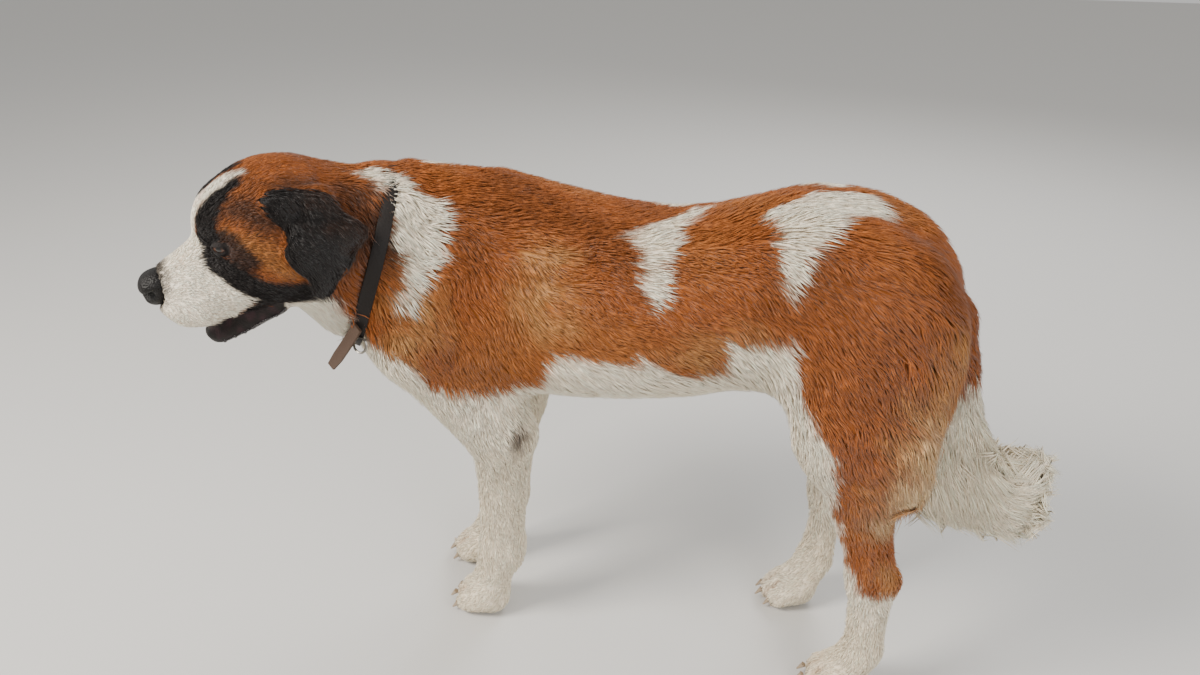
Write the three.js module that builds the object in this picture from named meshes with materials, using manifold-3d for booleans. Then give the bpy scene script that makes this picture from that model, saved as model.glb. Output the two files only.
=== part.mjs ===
// A standing Saint Bernard at life size, as a still museum model with its leather collar.
// The dog faces -X, its left side is -Y and the floor is z = 0. Sizes are in millimetres and
// reach out to the tips of the coat. One smooth body form is parted by thin cuts where the
// head, neck, trunk, tail and legs meet. The eyes, nose, ears, claws and collar are set on it.
import * as THREE from "three";
import Module from "manifold-3d";
import { mergeVertices } from "three/addons/utils/BufferGeometryUtils.js";

const wasm = await Module();
wasm.setup();

// Where the stance lies, so that the bounding box is centred over the origin
const stanceShift = new THREE.Vector3(34.11, 47.64, 0);

// Gaps
const cutGap = 0.3; // between two pieces that meet at a flat cut
const nestGap = 1; // between a piece and the curved form that it is set into

// Facet sizes
const coarse = 52;
const middling = 37;
const fine = 20;
const finest = 15;

// The head's own frame: its middle, turned to the dog's left and tipped down
const headMiddle = new THREE.Vector3(-506, -172, 660);
const headTurn = THREE.MathUtils.degToRad(35);
const headDip = THREE.MathUtils.degToRad(18);
const headTilt = THREE.MathUtils.degToRad(4);

// Eyes and collar
const eyeRadius = 14.5;
const collarWidth = 19;
const collarThick = 4;
const ringRadius = 11;
const ringWire = 1.8;

const v = (x, y, z) => new THREE.Vector3(x, y, z);

// Field functions: negative inside a form, and close to the distance from its surface
const ball = (centre, radius) => (p) => p.distanceTo(centre) - radius;

function oval(centre, rx, ry, rz) {
  const radii = v(rx, ry, rz);
  const q = v(0, 0, 0);
  return (p) => {
    q.subVectors(p, centre).divide(radii);
    const scaled = q.length();
    const steep = q.divide(radii).length();
    return steep > 0 ? (scaled * (scaled - 1)) / steep : -Math.min(rx, ry, rz);
  };
}

// A limb between two joints, thicker at one end; flat under 1 makes it narrower across the dog
function limb(a, b, ra, rb, flat = 1) {
  const squeeze = (q, p) => q.set(p.x, a.y + (p.y - a.y) / flat, p.z);
  const start = squeeze(v(0, 0, 0), a);
  const along = squeeze(v(0, 0, 0), b).sub(start);
  const length2 = along.lengthSq();
  const taper = ra - rb;
  const slope2 = length2 - taper * taper;
  const q = v(0, 0, 0);
  const across = v(0, 0, 0);
  return (p) => {
    squeeze(q, p).sub(start);
    const y = q.dot(along);
    const z = y - length2;
    across.copy(q).multiplyScalar(length2).addScaledVector(along, -y);
    const x2 = across.lengthSq();
    const y2 = y * y * length2;
    const z2 = z * z * length2;
    const k = Math.sign(taper) * taper * taper * x2;
    let d;
    if (Math.sign(z) * slope2 * z2 > k) d = Math.sqrt(x2 + z2) / length2 - rb;
    else if (Math.sign(y) * slope2 * y2 < k) d = Math.sqrt(x2 + y2) / length2 - ra;
    else d = (Math.sqrt(x2 * slope2 / length2) + y * taper) / length2 - ra;
    return d * Math.min(1, flat);
  };
}

// A rounded flap with three corners, as thick as twice its radius
function flap(a, b, c, radius) {
  const face = new THREE.Triangle(a, b, c);
  const near = v(0, 0, 0);
  return (p) => face.closestPointToPoint(p, near).distanceTo(p) - radius;
}

// Joins forms with a fillet of about the given size
function blend(fillet, ...forms) {
  return (p) => forms.reduce((d, form) => {
    const e = form(p);
    const h = Math.max(fillet - Math.abs(d - e), 0) / fillet;
    return Math.min(d, e) - (h * h * fillet) / 4;
  }, 1e4);
}

// Cuts one form out of another with a rounded edge
function carve(fillet, form, tool) {
  return (p) => {
    const d = form(p);
    const e = -tool(p);
    const h = Math.max(fillet - Math.abs(d - e), 0) / fillet;
    return Math.max(d, e) + (h * h * fillet) / 4;
  };
}

const swell = (form, by) => (p) => form(p) - by;

// A form given in the head's own frame: x to the nose, y to the dog's left, z to the crown
const headFrame = new THREE.Matrix4().makeBasis(v(-1, 0, 0), v(0, -1, 0), v(0, 0, 1));
headFrame.premultiply(new THREE.Matrix4().makeRotationZ(headTurn));
headFrame.multiply(new THREE.Matrix4().makeRotationY(headDip));
headFrame.multiply(new THREE.Matrix4().makeRotationX(headTilt));
headFrame.setPosition(headMiddle);
const headFrameBack = headFrame.clone().invert();

function onHead(form) {
  const q = v(0, 0, 0);
  return (p) => form(q.copy(p).applyMatrix4(headFrameBack));
}
const headPoint = (x, y, z) => v(x, y, z).applyMatrix4(headFrame);

// The same form on both sides of the head
function bothSides(form) {
  const q = v(0, 0, 0);
  return (p) => form(q.set(p.x, Math.abs(p.y), p.z));
}

// Trunk: height of the back, height of the belly and half the width, from chest to rump
const trunkStations = [
  { x: -330, top: 705, bottom: 462, half: 104 },
  { x: -250, top: 722, bottom: 426, half: 138 },
  { x: -150, top: 714, bottom: 424, half: 154 },
  { x: -50, top: 698, bottom: 432, half: 158 },
  { x: 50, top: 699, bottom: 446, half: 150 },
  { x: 130, top: 722, bottom: 462, half: 138 },
  { x: 210, top: 744, bottom: 480, half: 136 },
  { x: 290, top: 722, bottom: 505, half: 134 },
  { x: 345, top: 664, bottom: 540, half: 112 },
];
const trunkSquareness = 2.3;
const widestShare = 0.52; // how far up the section the trunk is widest

const profileOf = (key) =>
  new THREE.SplineCurve(trunkStations.map((s) => new THREE.Vector2(s.x, s[key])));
const [backLine, bellyLine, widthLine] = ["top", "bottom", "half"].map(profileOf);

function trunkBarrel() {
  const first = trunkStations[0].x;
  const last = trunkStations[trunkStations.length - 1].x;
  const spans = trunkStations.length - 1;
  const at = new THREE.Vector2();
  return (p) => {
    const x = THREE.MathUtils.clamp(p.x, first, last);
    let i = 0;
    while (i < spans - 1 && x > trunkStations[i + 1].x) i += 1;
    const share = (x - trunkStations[i].x) / (trunkStations[i + 1].x - trunkStations[i].x);
    const t = (i + share) / spans;
    const top = backLine.getPoint(t, at).y;
    const bottom = bellyLine.getPoint(t, at).y;
    const half = widthLine.getPoint(t, at).y;
    const middle = bottom + (top - bottom) * widestShare;
    const reach = p.z > middle ? top - middle : middle - bottom;
    const n = trunkSquareness;
    const around = (Math.abs(p.y / half) ** n + Math.abs((p.z - middle) / reach) ** n) ** (1 / n);
    const side = (around - 1) * Math.min(half, reach);
    const end = Math.abs(p.x - (first + last) / 2) - (last - first) / 2;
    return Math.max(side, end);
  };
}

// Legs: the joints of the left legs, and how far each right joint lies from its mirror image
const foreJoints = {
  withers: v(-232, -62, 648), shoulder: v(-312, -112, 520), elbow: v(-196, -92, 372),
  wrist: v(-214, -68, 138), paw: v(-250, -60, 34),
};
const foreShift = { withers: 0, shoulder: -18, elbow: -28, wrist: -44, paw: -50 };
const hindJoints = {
  hip: v(282, -74, 610), rump: v(346, -72, 580), stifle: v(284, -122, 462),
  hock: v(348, -104, 232), heel: v(374, -102, 244), pastern: v(350, -94, 92), paw: v(322, -90, 32),
};
const hindShift = {
  hip: 0, rump: 0, stifle: -18, hock: -66, heel: -72, pastern: -80, paw: -82,
};

function jointsOf(joints, shifts, side) {
  const placed = {};
  for (const [name, at] of Object.entries(joints)) {
    placed[name] = side < 0 ? at.clone() : v(at.x + shifts[name], -at.y, at.z);
  }
  return placed;
}

// A paw: four toes fanned from the knuckles, on one main pad, turned out by the given angle
const toes = [
  { out: -29, reach: 30, rise: 19 },
  { out: -10, reach: 45, rise: 22 },
  { out: 10, reach: 45, rise: 22 },
  { out: 29, reach: 30, rise: 19 },
];
const toeRadius = 18;
const pawTurn = { fore_left: 8, fore_right: -2, hind_left: 3, hind_right: 4 };

function pawFrame(at, degrees, side) {
  const turn = THREE.MathUtils.degToRad(degrees) * -side;
  const forward = v(-Math.cos(turn), Math.sin(turn) * 1, 0);
  const left = v(-Math.sin(turn), -Math.cos(turn), 0);
  return (ahead, out, up) => at.clone().setZ(0)
    .addScaledVector(forward, ahead).addScaledVector(left, out).add(v(0, 0, up));
}

function pawForm(place, size) {
  const digits = toes.map((t) =>
    limb(place(-8 * size, t.out * 0.6 * size, 46 * size), place(t.reach * size, t.out * size, t.rise),
      20 * size, toeRadius * size));
  const pad = limb(place(-12 * size, 0, 28), place(12, 0, 26), 27 * size, 30 * size);
  return blend(9, blend(6, ...digits), pad);
}

function foreLeg(j, place) {
  return blend(26,
    limb(j.withers, j.shoulder, 62, 60),
    limb(j.shoulder, j.elbow, 62, 50),
    ball(v(j.elbow.x + 12, j.elbow.y, j.elbow.z + 4), 30),
    limb(j.elbow, j.wrist, 45, 34, 0.86),
    blend(20, limb(j.wrist, j.paw, 35, 31, 0.95), pawForm(place, 1)));
}

function hindLeg(j, place) {
  return blend(30,
    limb(j.hip, j.stifle, 116, 66, 0.62),
    limb(j.rump, v(j.stifle.x + 84, j.stifle.y, j.stifle.z - 46), 78, 44, 0.8),
    limb(v(j.stifle.x + 12, j.stifle.y, j.stifle.z), j.hock, 62, 32, 0.72),
    blend(14, limb(j.hock, j.pastern, 30, 29, 0.86), ball(j.heel, 17),
      blend(18, limb(j.pastern, j.paw, 29, 30), pawForm(place, 0.95))));
}

const forePlace = {};
const hindPlace = {};
const forePoints = {};
const hindPoints = {};
for (const [word, side] of [["left", -1], ["right", 1]]) {
  forePoints[word] = jointsOf(foreJoints, foreShift, side);
  hindPoints[word] = jointsOf(hindJoints, hindShift, side);
  forePlace[word] = pawFrame(forePoints[word].paw, pawTurn["fore_" + word], side);
  hindPlace[word] = pawFrame(hindPoints[word].paw, pawTurn["hind_" + word], side);
}

// Neck: from between the shoulders to the back of the skull
const neckRoot = v(-270, -8, 610);
const neckMiddle = v(-362, -46, 630);
const neckEnd = v(-428, -112, 652);

const neckForm = blend(40,
  limb(neckRoot, neckMiddle, 128, 114, 0.84),
  limb(neckMiddle, neckEnd, 114, 93, 0.94),
  limb(v(-330, -30, 560), v(-402, -84, 578), 92, 80, 0.9));

// Head: cranium, brows, cheeks, muzzle and the hanging upper lips, in the head's own frame
const skullForm = blend(26,
  oval(v(-40, 0, 36), 96, 78, 72),
  bothSides(oval(v(14, 25, 50), 31, 30, 34)),
  bothSides(oval(v(-22, 46, -12), 66, 35, 60)),
  oval(v(-50, 0, -34), 70, 56, 50));
const muzzleForm = blend(20,
  limb(v(24, 0, -4), v(109, 0, -14), 48, 37, 1.02),
  limb(v(36, 0, 22), v(128, 0, 6), 18, 15, 1.2),
  bothSides(limb(v(26, 34, -40), v(104, 25, -42), 24, 25, 0.8)));
const headForm = onHead(blend(22, skullForm, muzzleForm));


// The lower jaw hangs a little open, with the tip of the tongue behind the lower lip
const jawForm = onHead(blend(14,
  limb(v(-16, 0, -72), v(98, 0, -86), 20, 15, 1.4),
  bothSides(limb(v(-4, 34, -73), v(88, 22, -88), 21, 13, 0.9))));
const tongueForm = onHead(limb(v(30, 0, -66), v(108, 0, -66), 9, 6, 2.4));

const noseForm = onHead(blend(8,
  oval(v(131, 0, 1), 23, 29, 24),
  bothSides(ball(v(132, 18, -6), 14))));

// The ears hang from high on the skull, folded forward at the root
const earForm = onHead(bothSides(blend(16,
  flap(v(-54, 76, 66), v(-118, 70, 42), v(-58, 95, -8), 9),
  flap(v(-118, 70, 42), v(-136, 92, -8), v(-58, 95, -8), 9),
  flap(v(-136, 92, -8), v(-60, 98, -64), v(-48, 94, -10), 9),
  flap(v(-136, 92, -8), v(-102, 95, -46), v(-60, 98, -64), 9),
  limb(v(-54, 68, 64), v(-112, 62, 44), 13, 11))));

const eyePlace = (side) => headPoint(27, 55 * side, 27);

// Tail: hangs from the croup, and the brush curls up at its end
const tailPoints = [
  v(352, 0, 636), v(384, -4, 590), v(404, -8, 520), v(416, -12, 450),
  v(442, -14, 376), v(500, -16, 348), v(534, -16, 384), v(526, -16, 414),
];
const tailForm = blend(24,
  limb(tailPoints[0], tailPoints[1], 42, 44, 0.9),
  limb(tailPoints[1], tailPoints[2], 44, 42, 0.85),
  limb(tailPoints[2], tailPoints[3], 42, 42, 0.85),
  limb(tailPoints[3], tailPoints[4], 46, 50, 0.8),
  limb(v(430, -14, 330), v(520, -16, 310), 52, 44, 0.7),
  limb(tailPoints[5], tailPoints[6], 40, 30, 0.8),
  limb(tailPoints[6], tailPoints[7], 30, 18, 0.8));

// The whole body as one form
const legForms = ["left", "right"].flatMap((word) => [
  foreLeg(forePoints[word], forePlace[word]), hindLeg(hindPoints[word], hindPlace[word]),
]);
const bodyForm = blend(34,
  blend(60, trunkBarrel(), oval(v(-318, 0, 560), 84, 104, 118), oval(v(316, 0, 604), 88, 116, 92)),
  neckForm,
  blend(1, ...legForms));
const floorCut = (form) => (p) => Math.max(form(p), -p.z);

// The edges of a grid cell that the surface crosses, grouped by the sheet that crosses them.
// A cell's eight corners are numbered by bits: 1 for x, 2 for y and 4 for z.
const edgeKey = (m, n) => Math.min(m, n) * 3 + Math.log2(m ^ n);

function sheetsOf(values) {
  const sheets = new Map();
  const joinTo = (first, second) => {
    const [keep, drop] = [sheets.get(first), sheets.get(second)];
    if (keep === drop) return;
    for (const [key, sheet] of sheets) if (sheet === drop) sheets.set(key, keep);
  };
  const crossed = (m, n) => values[m] > 0 !== values[n] > 0;
  for (const axis of [0, 1, 2]) {
    for (let m = 0; m < 8; m += 1) {
      const n = m | (1 << axis);
      if (n !== m && crossed(m, n)) sheets.set(edgeKey(m, n), edgeKey(m, n));
    }
  }
  for (const axis of [0, 1, 2]) {
    const [u, w] = [1 << ((axis + 1) % 3), 1 << ((axis + 2) % 3)];
    for (const side of [0, 1 << axis]) {
      const ring = [side, side | u, side | u | w, side | w];
      const keys = ring.map((m, r) => {
        const n = ring[(r + 1) % 4];
        return crossed(m, n) ? edgeKey(m, n) : -1;
      });
      const met = keys.filter((key) => key >= 0);
      if (met.length === 2) joinTo(met[0], met[1]);
      if (met.length === 4) ring.forEach((m, r) => {
        if (values[m] <= 0) joinTo(keys[r], keys[(r + 3) % 4]);
      });
    }
  }
  return sheets;
}

// Turns a form into a closed mesh: one corner for each sheet in each grid cell it crosses
function surfaceOf(form, box, cell) {
  const size = box.getSize(v(0, 0, 0));
  const [nx, ny, nz] = size.toArray().map((s) => Math.ceil(s / cell) + 1);
  const p = v(0, 0, 0);
  const grid = new Float32Array(nx * ny * nz);
  const at = (i, j, k) => (k * ny + j) * nx + i;
  for (let k = 0; k < nz; k += 1) {
    for (let j = 0; j < ny; j += 1) {
      for (let i = 0; i < nx; i += 1) {
        const rim = Math.min(i, j, k, nx - 1 - i, ny - 1 - j, nz - 1 - k) === 0;
        p.set(i, j, k).multiplyScalar(cell).add(box.min);
        grid[at(i, j, k)] = rim ? cell : form(p);
      }
    }
  }
  const corners = [];
  const cellCorners = new Map();
  const bits = (m) => [m & 1, (m >> 1) & 1, m >> 2];
  for (let k = 0; k < nz - 1; k += 1) {
    for (let j = 0; j < ny - 1; j += 1) {
      for (let i = 0; i < nx - 1; i += 1) {
        const values = Array.from({ length: 8 }, (_, m) => {
          const [a, b, c] = bits(m);
          return grid[at(i + a, j + b, k + c)];
        });
        if (values.every((x) => x > 0) || values.every((x) => x <= 0)) continue;
        const sheets = sheetsOf(values);
        const cornerOf = new Map();
        for (const sheet of new Set(sheets.values())) {
          const keys = [...sheets.keys()].filter((key) => sheets.get(key) === sheet);
          const mean = v(0, 0, 0);
          for (const key of keys) {
            const m = Math.floor(key / 3);
            const n = m | (1 << (key % 3));
            const t = values[m] / (values[m] - values[n]);
            mean.add(v(...bits(m)).lerp(v(...bits(n)), t));
          }
          mean.divideScalar(keys.length).add(v(i, j, k)).multiplyScalar(cell).add(box.min);
          for (const key of keys) cornerOf.set(key, corners.length);
          corners.push(settle(form, mean, cell));
        }
        cellCorners.set(at(i, j, k), cornerOf);
      }
    }
  }
  const faces = [];
  const ways = [[1, 0, 0], [0, 1, 0], [0, 0, 1]];
  for (let k = 0; k < nz - 1; k += 1) {
    for (let j = 0; j < ny - 1; j += 1) {
      for (let i = 0; i < nx - 1; i += 1) {
        ways.forEach(([a, b, c], axis) => {
          const inside = grid[at(i, j, k)] <= 0;
          if (inside === grid[at(i + a, j + b, k + c)] <= 0) return;
          const [m, n] = [(axis + 1) % 3, (axis + 2) % 3];
          const [u, w] = [ways[m], ways[n]];
          const ring = [[0, 0], [1, 0], [1, 1], [0, 1]].map(([s, t]) => cellCorners
            .get(at(i - s * u[0] - t * w[0], j - s * u[1] - t * w[1], k - s * u[2] - t * w[2]))
            .get(((s << m) + (t << n)) * 3 + axis));
          if (!inside) ring.reverse();
          const short = corners[ring[0]].distanceTo(corners[ring[2]])
            < corners[ring[1]].distanceTo(corners[ring[3]]);
          const [e, f, g, h] = short ? ring : [ring[1], ring[2], ring[3], ring[0]];
          faces.push(e, f, g, e, g, h);
        });
      }
    }
  }
  const geometry = new THREE.BufferGeometry();
  geometry.setAttribute("position",
    new THREE.Float32BufferAttribute(corners.flatMap((c) => c.toArray()), 3));
  geometry.setIndex(faces);
  return geometry;
}

// Moves a corner onto the form's surface
function settle(form, start, cell) {
  const p = start.clone();
  const step = cell * 0.05;
  for (let round = 0; round < 2; round += 1) {
    const d = form(p);
    const slope = v(
      form(v(p.x + step, p.y, p.z)) - d,
      form(v(p.x, p.y + step, p.z)) - d,
      form(v(p.x, p.y, p.z + step)) - d).divideScalar(step);
    const steep = slope.lengthSq();
    if (steep > 0.05) p.addScaledVector(slope, -d / steep);
  }
  return p.distanceTo(start) < cell * 0.5 ? p : start;
}

// Solids, and the cuts between them
function solidOf(geometry) {
  let plain = geometry;
  if (geometry.getAttribute("uv")) {
    plain = geometry.clone().deleteAttribute("normal").deleteAttribute("uv");
    plain = mergeVertices(plain, 1e-3);
  }
  return new wasm.Manifold(new wasm.Mesh({
    numProp: 3,
    vertProperties: plain.attributes.position.array,
    triVerts: new Uint32Array(plain.index.array),
  }));
}

function geometryOf(solid) {
  const mesh = solid.getMesh();
  return new THREE.BufferGeometry()
    .setAttribute("position", new THREE.BufferAttribute(mesh.vertProperties, 3))
    .setIndex(new THREE.BufferAttribute(mesh.triVerts, 1));
}

const farAway = 3000;

// Everything on the far side of a plane, as a large block
function beyond(point, normal, gap) {
  const block = new THREE.BoxGeometry(farAway, farAway, farAway);
  block.translate(0, 0, (farAway - gap) / 2);
  const turn = new THREE.Quaternion().setFromUnitVectors(v(0, 0, 1), normal.clone().normalize());
  block.applyQuaternion(turn).translate(point.x, point.y, point.z);
  return solidOf(block);
}

// A cut between two pieces: "inner" keeps the side that the normal points away from
const cut = (point, normal) => ({
  inner: (solid) => solid.subtract(beyond(point, normal, cutGap)),
  outer: (solid) => solid.subtract(beyond(point, normal.clone().negate(), cutGap)),
});

const material = (colour, roughness, metalness = 0) =>
  new THREE.MeshStandardMaterial({ color: colour, roughness, metalness });
const coat = {
  rust: material("#9a4f22", 0.8), white: material("#e6ddcf", 0.85), black: material("#1c1614", 0.8),
};
const bare = {
  nose: material("#2a2220", 0.45), lip: material("#2b1d1c", 0.5), tongue: material("#c0686c", 0.45),
  eye: material("#3a1f10", 0.15), claw: material("#8c7f70", 0.5),
};
const leather = { dark: material("#211a17", 0.6), brown: material("#4a3527", 0.6) };
const steel = material("#8a8780", 0.35, 1);

// Blocks of space that part the legs from the trunk
function blockOf(planes, grow) {
  const start = solidOf(new THREE.BoxGeometry(farAway, farAway, farAway));
  return planes.reduce((solid, { point, normal }) =>
    solid.subtract(beyond(point, normal, -2 * grow)), start);
}

const sideOf = { left: -1, right: 1 };
const plane = (point, normal) => ({ point, normal: normal.clone().normalize() });

// The fore leg leaves the trunk below a plane that climbs outward over the elbow
const foreBlock = (side) => [
  plane(v(0, 0, 395), v(0, -115 * side, 150)),
  plane(v(-345, 0, 0), v(-1, 0, 0)),
  plane(v(-118, 0, 0), v(1, 0, 0)),
  plane(v(0, 4 * side, 0), v(0, -side, 0)),
];

// The thigh leaves the trunk below a steeper plane that runs up over the haunch
const hindBlock = (side) => [
  plane(v(0, 30 * side, 436), v(0, -170 * side, 120)),
  plane(v(178, 0, 0), v(-1, 0, 0)),
  plane(v(0, 4 * side, 0), v(0, -side, 0)),
];

const largest = (solid) => solid.decompose().sort((a, b) => b.volume() - a.volume())[0];

const group = new THREE.Group();

function addSolid(name, solid, look) {
  const mesh = new THREE.Mesh(geometryOf(largest(solid)), look);
  mesh.name = name;
  mesh.position.copy(stanceShift);
  group.add(mesh);
}

const boxAround = (low, high) => new THREE.Box3(v(...low), v(...high));
const whole = floorCut(blend(30, bodyForm, headForm));
const piece = (low, high, cell) => solidOf(surfaceOf(whole, boxAround(low, high), cell));

// Head, with sockets for the eyes and the nose
const neckAxis = v(0.845, 0.425, -0.324).normalize();
const collarMiddle = v(-388, -59, 636);
const headCut = cut(headPoint(-100, 0, 20), v(0.858, 0.514, -0.008));
const chestCut = cut(collarMiddle.clone().addScaledVector(neckAxis, 42), neckAxis);
const headBox = boxAround([-740, -370, 480], [-330, 60, 860]);
const eyeBall = (side, radius) => {
  const sphere = new THREE.SphereGeometry(radius, 10, 7);
  const at = eyePlace(side);
  return solidOf(sphere.translate(at.x, at.y, at.z));
};
const noseSolid = (grow, cell) => solidOf(surfaceOf(swell(noseForm, grow), headBox, cell));
let head = chestCut.inner(headCut.inner(solidOf(surfaceOf(whole, headBox, fine))));
head = head.subtract(noseSolid(2 * nestGap, finest));
for (const side of [-1, 1]) head = head.subtract(eyeBall(side, eyeRadius + nestGap));
addSolid("head", head, coat.rust);

const aroundHead = solidOf(surfaceOf(swell(whole, 3 * nestGap), headBox, fine));
addSolid("nose", noseSolid(0, finest), bare.nose);
const jawSolid = (grow) => solidOf(surfaceOf(swell(jawForm, grow), headBox, fine));
addSolid("lower_jaw", jawSolid(0).subtract(aroundHead), bare.lip);
addSolid("tongue", solidOf(surfaceOf(tongueForm, headBox, fine))
  .subtract(aroundHead).subtract(jawSolid(nestGap)), bare.tongue);
for (const [word, side] of Object.entries(sideOf)) {
  // The head's left is its +Y, whichever way the head is turned
  const half = cut(headPoint(0, 0, 0), headPoint(0, side, 0).sub(headPoint(0, 0, 0)));
  const ears = solidOf(surfaceOf(earForm, headBox, finest + 1)).subtract(aroundHead);
  addSolid("ear_" + word, half.inner(ears), coat.black);
  addSolid("eye_" + word, eyeBall(-side, eyeRadius), bare.eye);
}

// Collar: a strap around the neck, sunk a little way into the coat
function neckLoop(count, along, out) {
  const centre = collarMiddle.clone().addScaledVector(neckAxis, along);
  const upward = v(0, 0, 1).projectOnPlane(neckAxis).normalize();
  const sideways = neckAxis.clone().cross(upward);
  return Array.from({ length: count }, (_, i) => {
    const a = (2 * Math.PI * i) / count;
    const ray = upward.clone().multiplyScalar(Math.cos(a)).addScaledVector(sideways, Math.sin(a));
    let reach = 40;
    for (let round = 0; round < 40; round += 1) {
      reach -= whole(centre.clone().addScaledVector(ray, reach)) * 0.7;
    }
    return centre.clone().addScaledVector(ray, reach + out);
  });
}

function strapSolid(inner, outer, halfWidth) {
  const count = 32;
  const rows = [[-halfWidth, inner], [halfWidth, inner], [halfWidth, outer], [-halfWidth, outer]]
    .map(([along, out]) => neckLoop(count, along, out));
  const faces = [];
  rows.forEach((row, r) => row.forEach((_, i) => {
    const [a, b] = [r * count + i, r * count + ((i + 1) % count)];
    const [c, d] = [((r + 1) % 4) * count + i, ((r + 1) % 4) * count + ((i + 1) % count)];
    faces.push(a, d, b, a, c, d);
  }));
  const geometry = new THREE.BufferGeometry();
  geometry.setAttribute("position",
    new THREE.Float32BufferAttribute(rows.flat().flatMap((p) => p.toArray()), 3));
  geometry.setIndex(faces);
  return solidOf(geometry);
}

const strapOut = -3; // the coat rises over the strap
const strap = strapSolid(strapOut - collarThick, strapOut, collarWidth / 2);
const strapRoom = strapSolid(strapOut - collarThick - 0.6, 12, collarWidth / 2 + 0.6);
addSolid("collar_strap", strap, leather.dark);

// The free end of the strap hangs from below the throat, a little curled
const strapEnd = new THREE.QuadraticBezierCurve3(
  v(-367, -167, 556), v(-383, -166, 531), v(-411, -174, 493));

function strapEndSolid() {
  const strip = new THREE.BoxGeometry(1, collarWidth - 2, collarThick, 5, 1, 1);
  const place = strip.getAttribute("position");
  for (let i = 0; i < place.count; i += 1) {
    const t = place.getX(i) + 0.5;
    const at = strapEnd.getPoint(t);
    const along = strapEnd.getTangent(t);
    const facing = v(-0.25, -0.9, 0.36).projectOnPlane(along).normalize();
    const narrow = t > 0.99 ? 0.75 : 1;
    at.addScaledVector(facing.clone().cross(along), place.getY(i) * narrow);
    at.addScaledVector(facing, place.getZ(i));
    place.setXYZ(i, at.x, at.y, at.z);
  }
  return solidOf(strip);
}

function ringSolid() {
  const ring = new THREE.TorusGeometry(ringRadius, ringWire, 5, 14);
  const lean = v(-0.2, -0.93, 0.3).normalize();
  ring.applyQuaternion(new THREE.Quaternion().setFromUnitVectors(v(0, 0, 1), lean));
  return solidOf(ring.translate(-368, -164, 527));
}

addSolid("collar_end", strapEndSolid(), leather.brown);
addSolid("collar_ring", ringSolid(), steel);

// Neck and trunk
const foreRoom = ["left", "right"].map((word) => blockOf(foreBlock(sideOf[word]), cutGap / 2));
const hindRoom = ["left", "right"].map((word) => blockOf(hindBlock(sideOf[word]), cutGap / 2));
addSolid("neck", chestCut.inner(headCut.outer(piece([-580, -300, 420], [-230, 180, 860], coarse)))
  .subtract(strapRoom), coat.rust);
const barrelFront = cut(v(-60, 0, 560), v(1, 0, 0));
const barrelBack = cut(v(165, 0, 560), v(1, 0, 0));
const front = chestCut.outer(piece([-470, -220, 330], [-10, 220, 800], coarse));
addSolid("trunk_chest", barrelFront.inner(front).subtract(foreRoom[0]).subtract(foreRoom[1]), coat.rust);
const middle = piece([-110, -220, 360], [210, 220, 800], coarse);
addSolid("trunk_barrel", barrelBack.inner(barrelFront.outer(middle)), coat.rust);
const rear = piece([110, -240, 360], [480, 240, 820], middling + 5);
addSolid("trunk_croup", barrelBack.outer(rear).subtract(hindRoom[0]).subtract(hindRoom[1]), coat.rust);

// A paw with its claws, each set a little way into its toe
function clawSolid(place, toe, size, grow) {
  const root = place((toe.reach + toeRadius * 0.5) * size, toe.out * 1.05 * size, toe.rise + 1);
  const tip = place((toe.reach + toeRadius + 1) * size, toe.out * 1.1 * size, toe.rise - 11);
  const length = root.distanceTo(tip);
  const cone = new THREE.CylinderGeometry(1.4 + grow, 4.6 + grow, length + 2 * grow, 5);
  const turn = new THREE.Quaternion()
    .setFromUnitVectors(v(0, 1, 0), tip.clone().sub(root).normalize());
  const centre = root.clone().lerp(tip, 0.5);
  return solidOf(cone.applyQuaternion(turn).translate(centre.x, centre.y, centre.z));
}

function addPaw(pair, word, at, place, size, above) {
  const reach = 110;
  let paw = above.outer(piece([at.x - reach, at.y - reach, -12], [at.x + reach, at.y + reach, 110],
    finest + 8));
  toes.forEach((toe, i) => {
    addSolid(`claw_${pair}_${word}_${i + 1}`, clawSolid(place, toe, size, 0), bare.claw);
    paw = paw.subtract(clawSolid(place, toe, size, 0.4));
  });
  addSolid(`${pair}_paw_${word}`, paw, coat.white);
}

// Legs
const level = (x, z, lean) => cut(v(x, 0, z), v(lean, 0, -1));
for (const [word, side] of Object.entries(sideOf)) {
  const low = side < 0 ? -240 : -20;
  const high = side < 0 ? 20 : 240;
  const fore = forePoints[word];
  const elbowCut = level(fore.elbow.x, 326, 0);
  const wristCut = level(fore.wrist.x, 84, -0.3);
  const upper = piece([-400, low, 290], [-90, high, 600], middling);
  const shaft = piece([-340, low, 50], [-110, high, 380], middling);
  const shoulderBlock = blockOf(foreBlock(side), -cutGap / 2);
  addSolid("fore_upper_" + word,
    elbowCut.inner(largest(chestCut.outer(upper).intersect(shoulderBlock))), coat.white);
  addSolid("fore_lower_" + word, wristCut.inner(elbowCut.outer(shaft)), coat.white);
  addPaw("fore", word, fore.paw, forePlace[word], 1, wristCut);
  const hind = hindPoints[word];
  const kneeCut = level(hind.stifle.x + 40, 360, 0.4);
  const hockCut = level(hind.hock.x, 196, 0);
  const ankleCut = level(hind.pastern.x, 80, -0.3);
  const thigh = piece([120, low, 250], [470, high, 780], middling + 6);
  const shank = piece([150, low, 150], [450, high, 480], middling - 3);
  const pastern = piece([180, low, 40], [450, high, 260], middling - 5);
  addSolid("hind_thigh_" + word,
    kneeCut.inner(largest(thigh.intersect(blockOf(hindBlock(side), -cutGap / 2)))), coat.rust);
  addSolid("hind_shank_" + word, hockCut.inner(kneeCut.outer(shank)), coat.rust);
  addSolid("hind_pastern_" + word, ankleCut.inner(hockCut.outer(pastern)), coat.white);
  addPaw("hind", word, hind.paw, hindPlace[word], 0.95, ankleCut);
}

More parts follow.
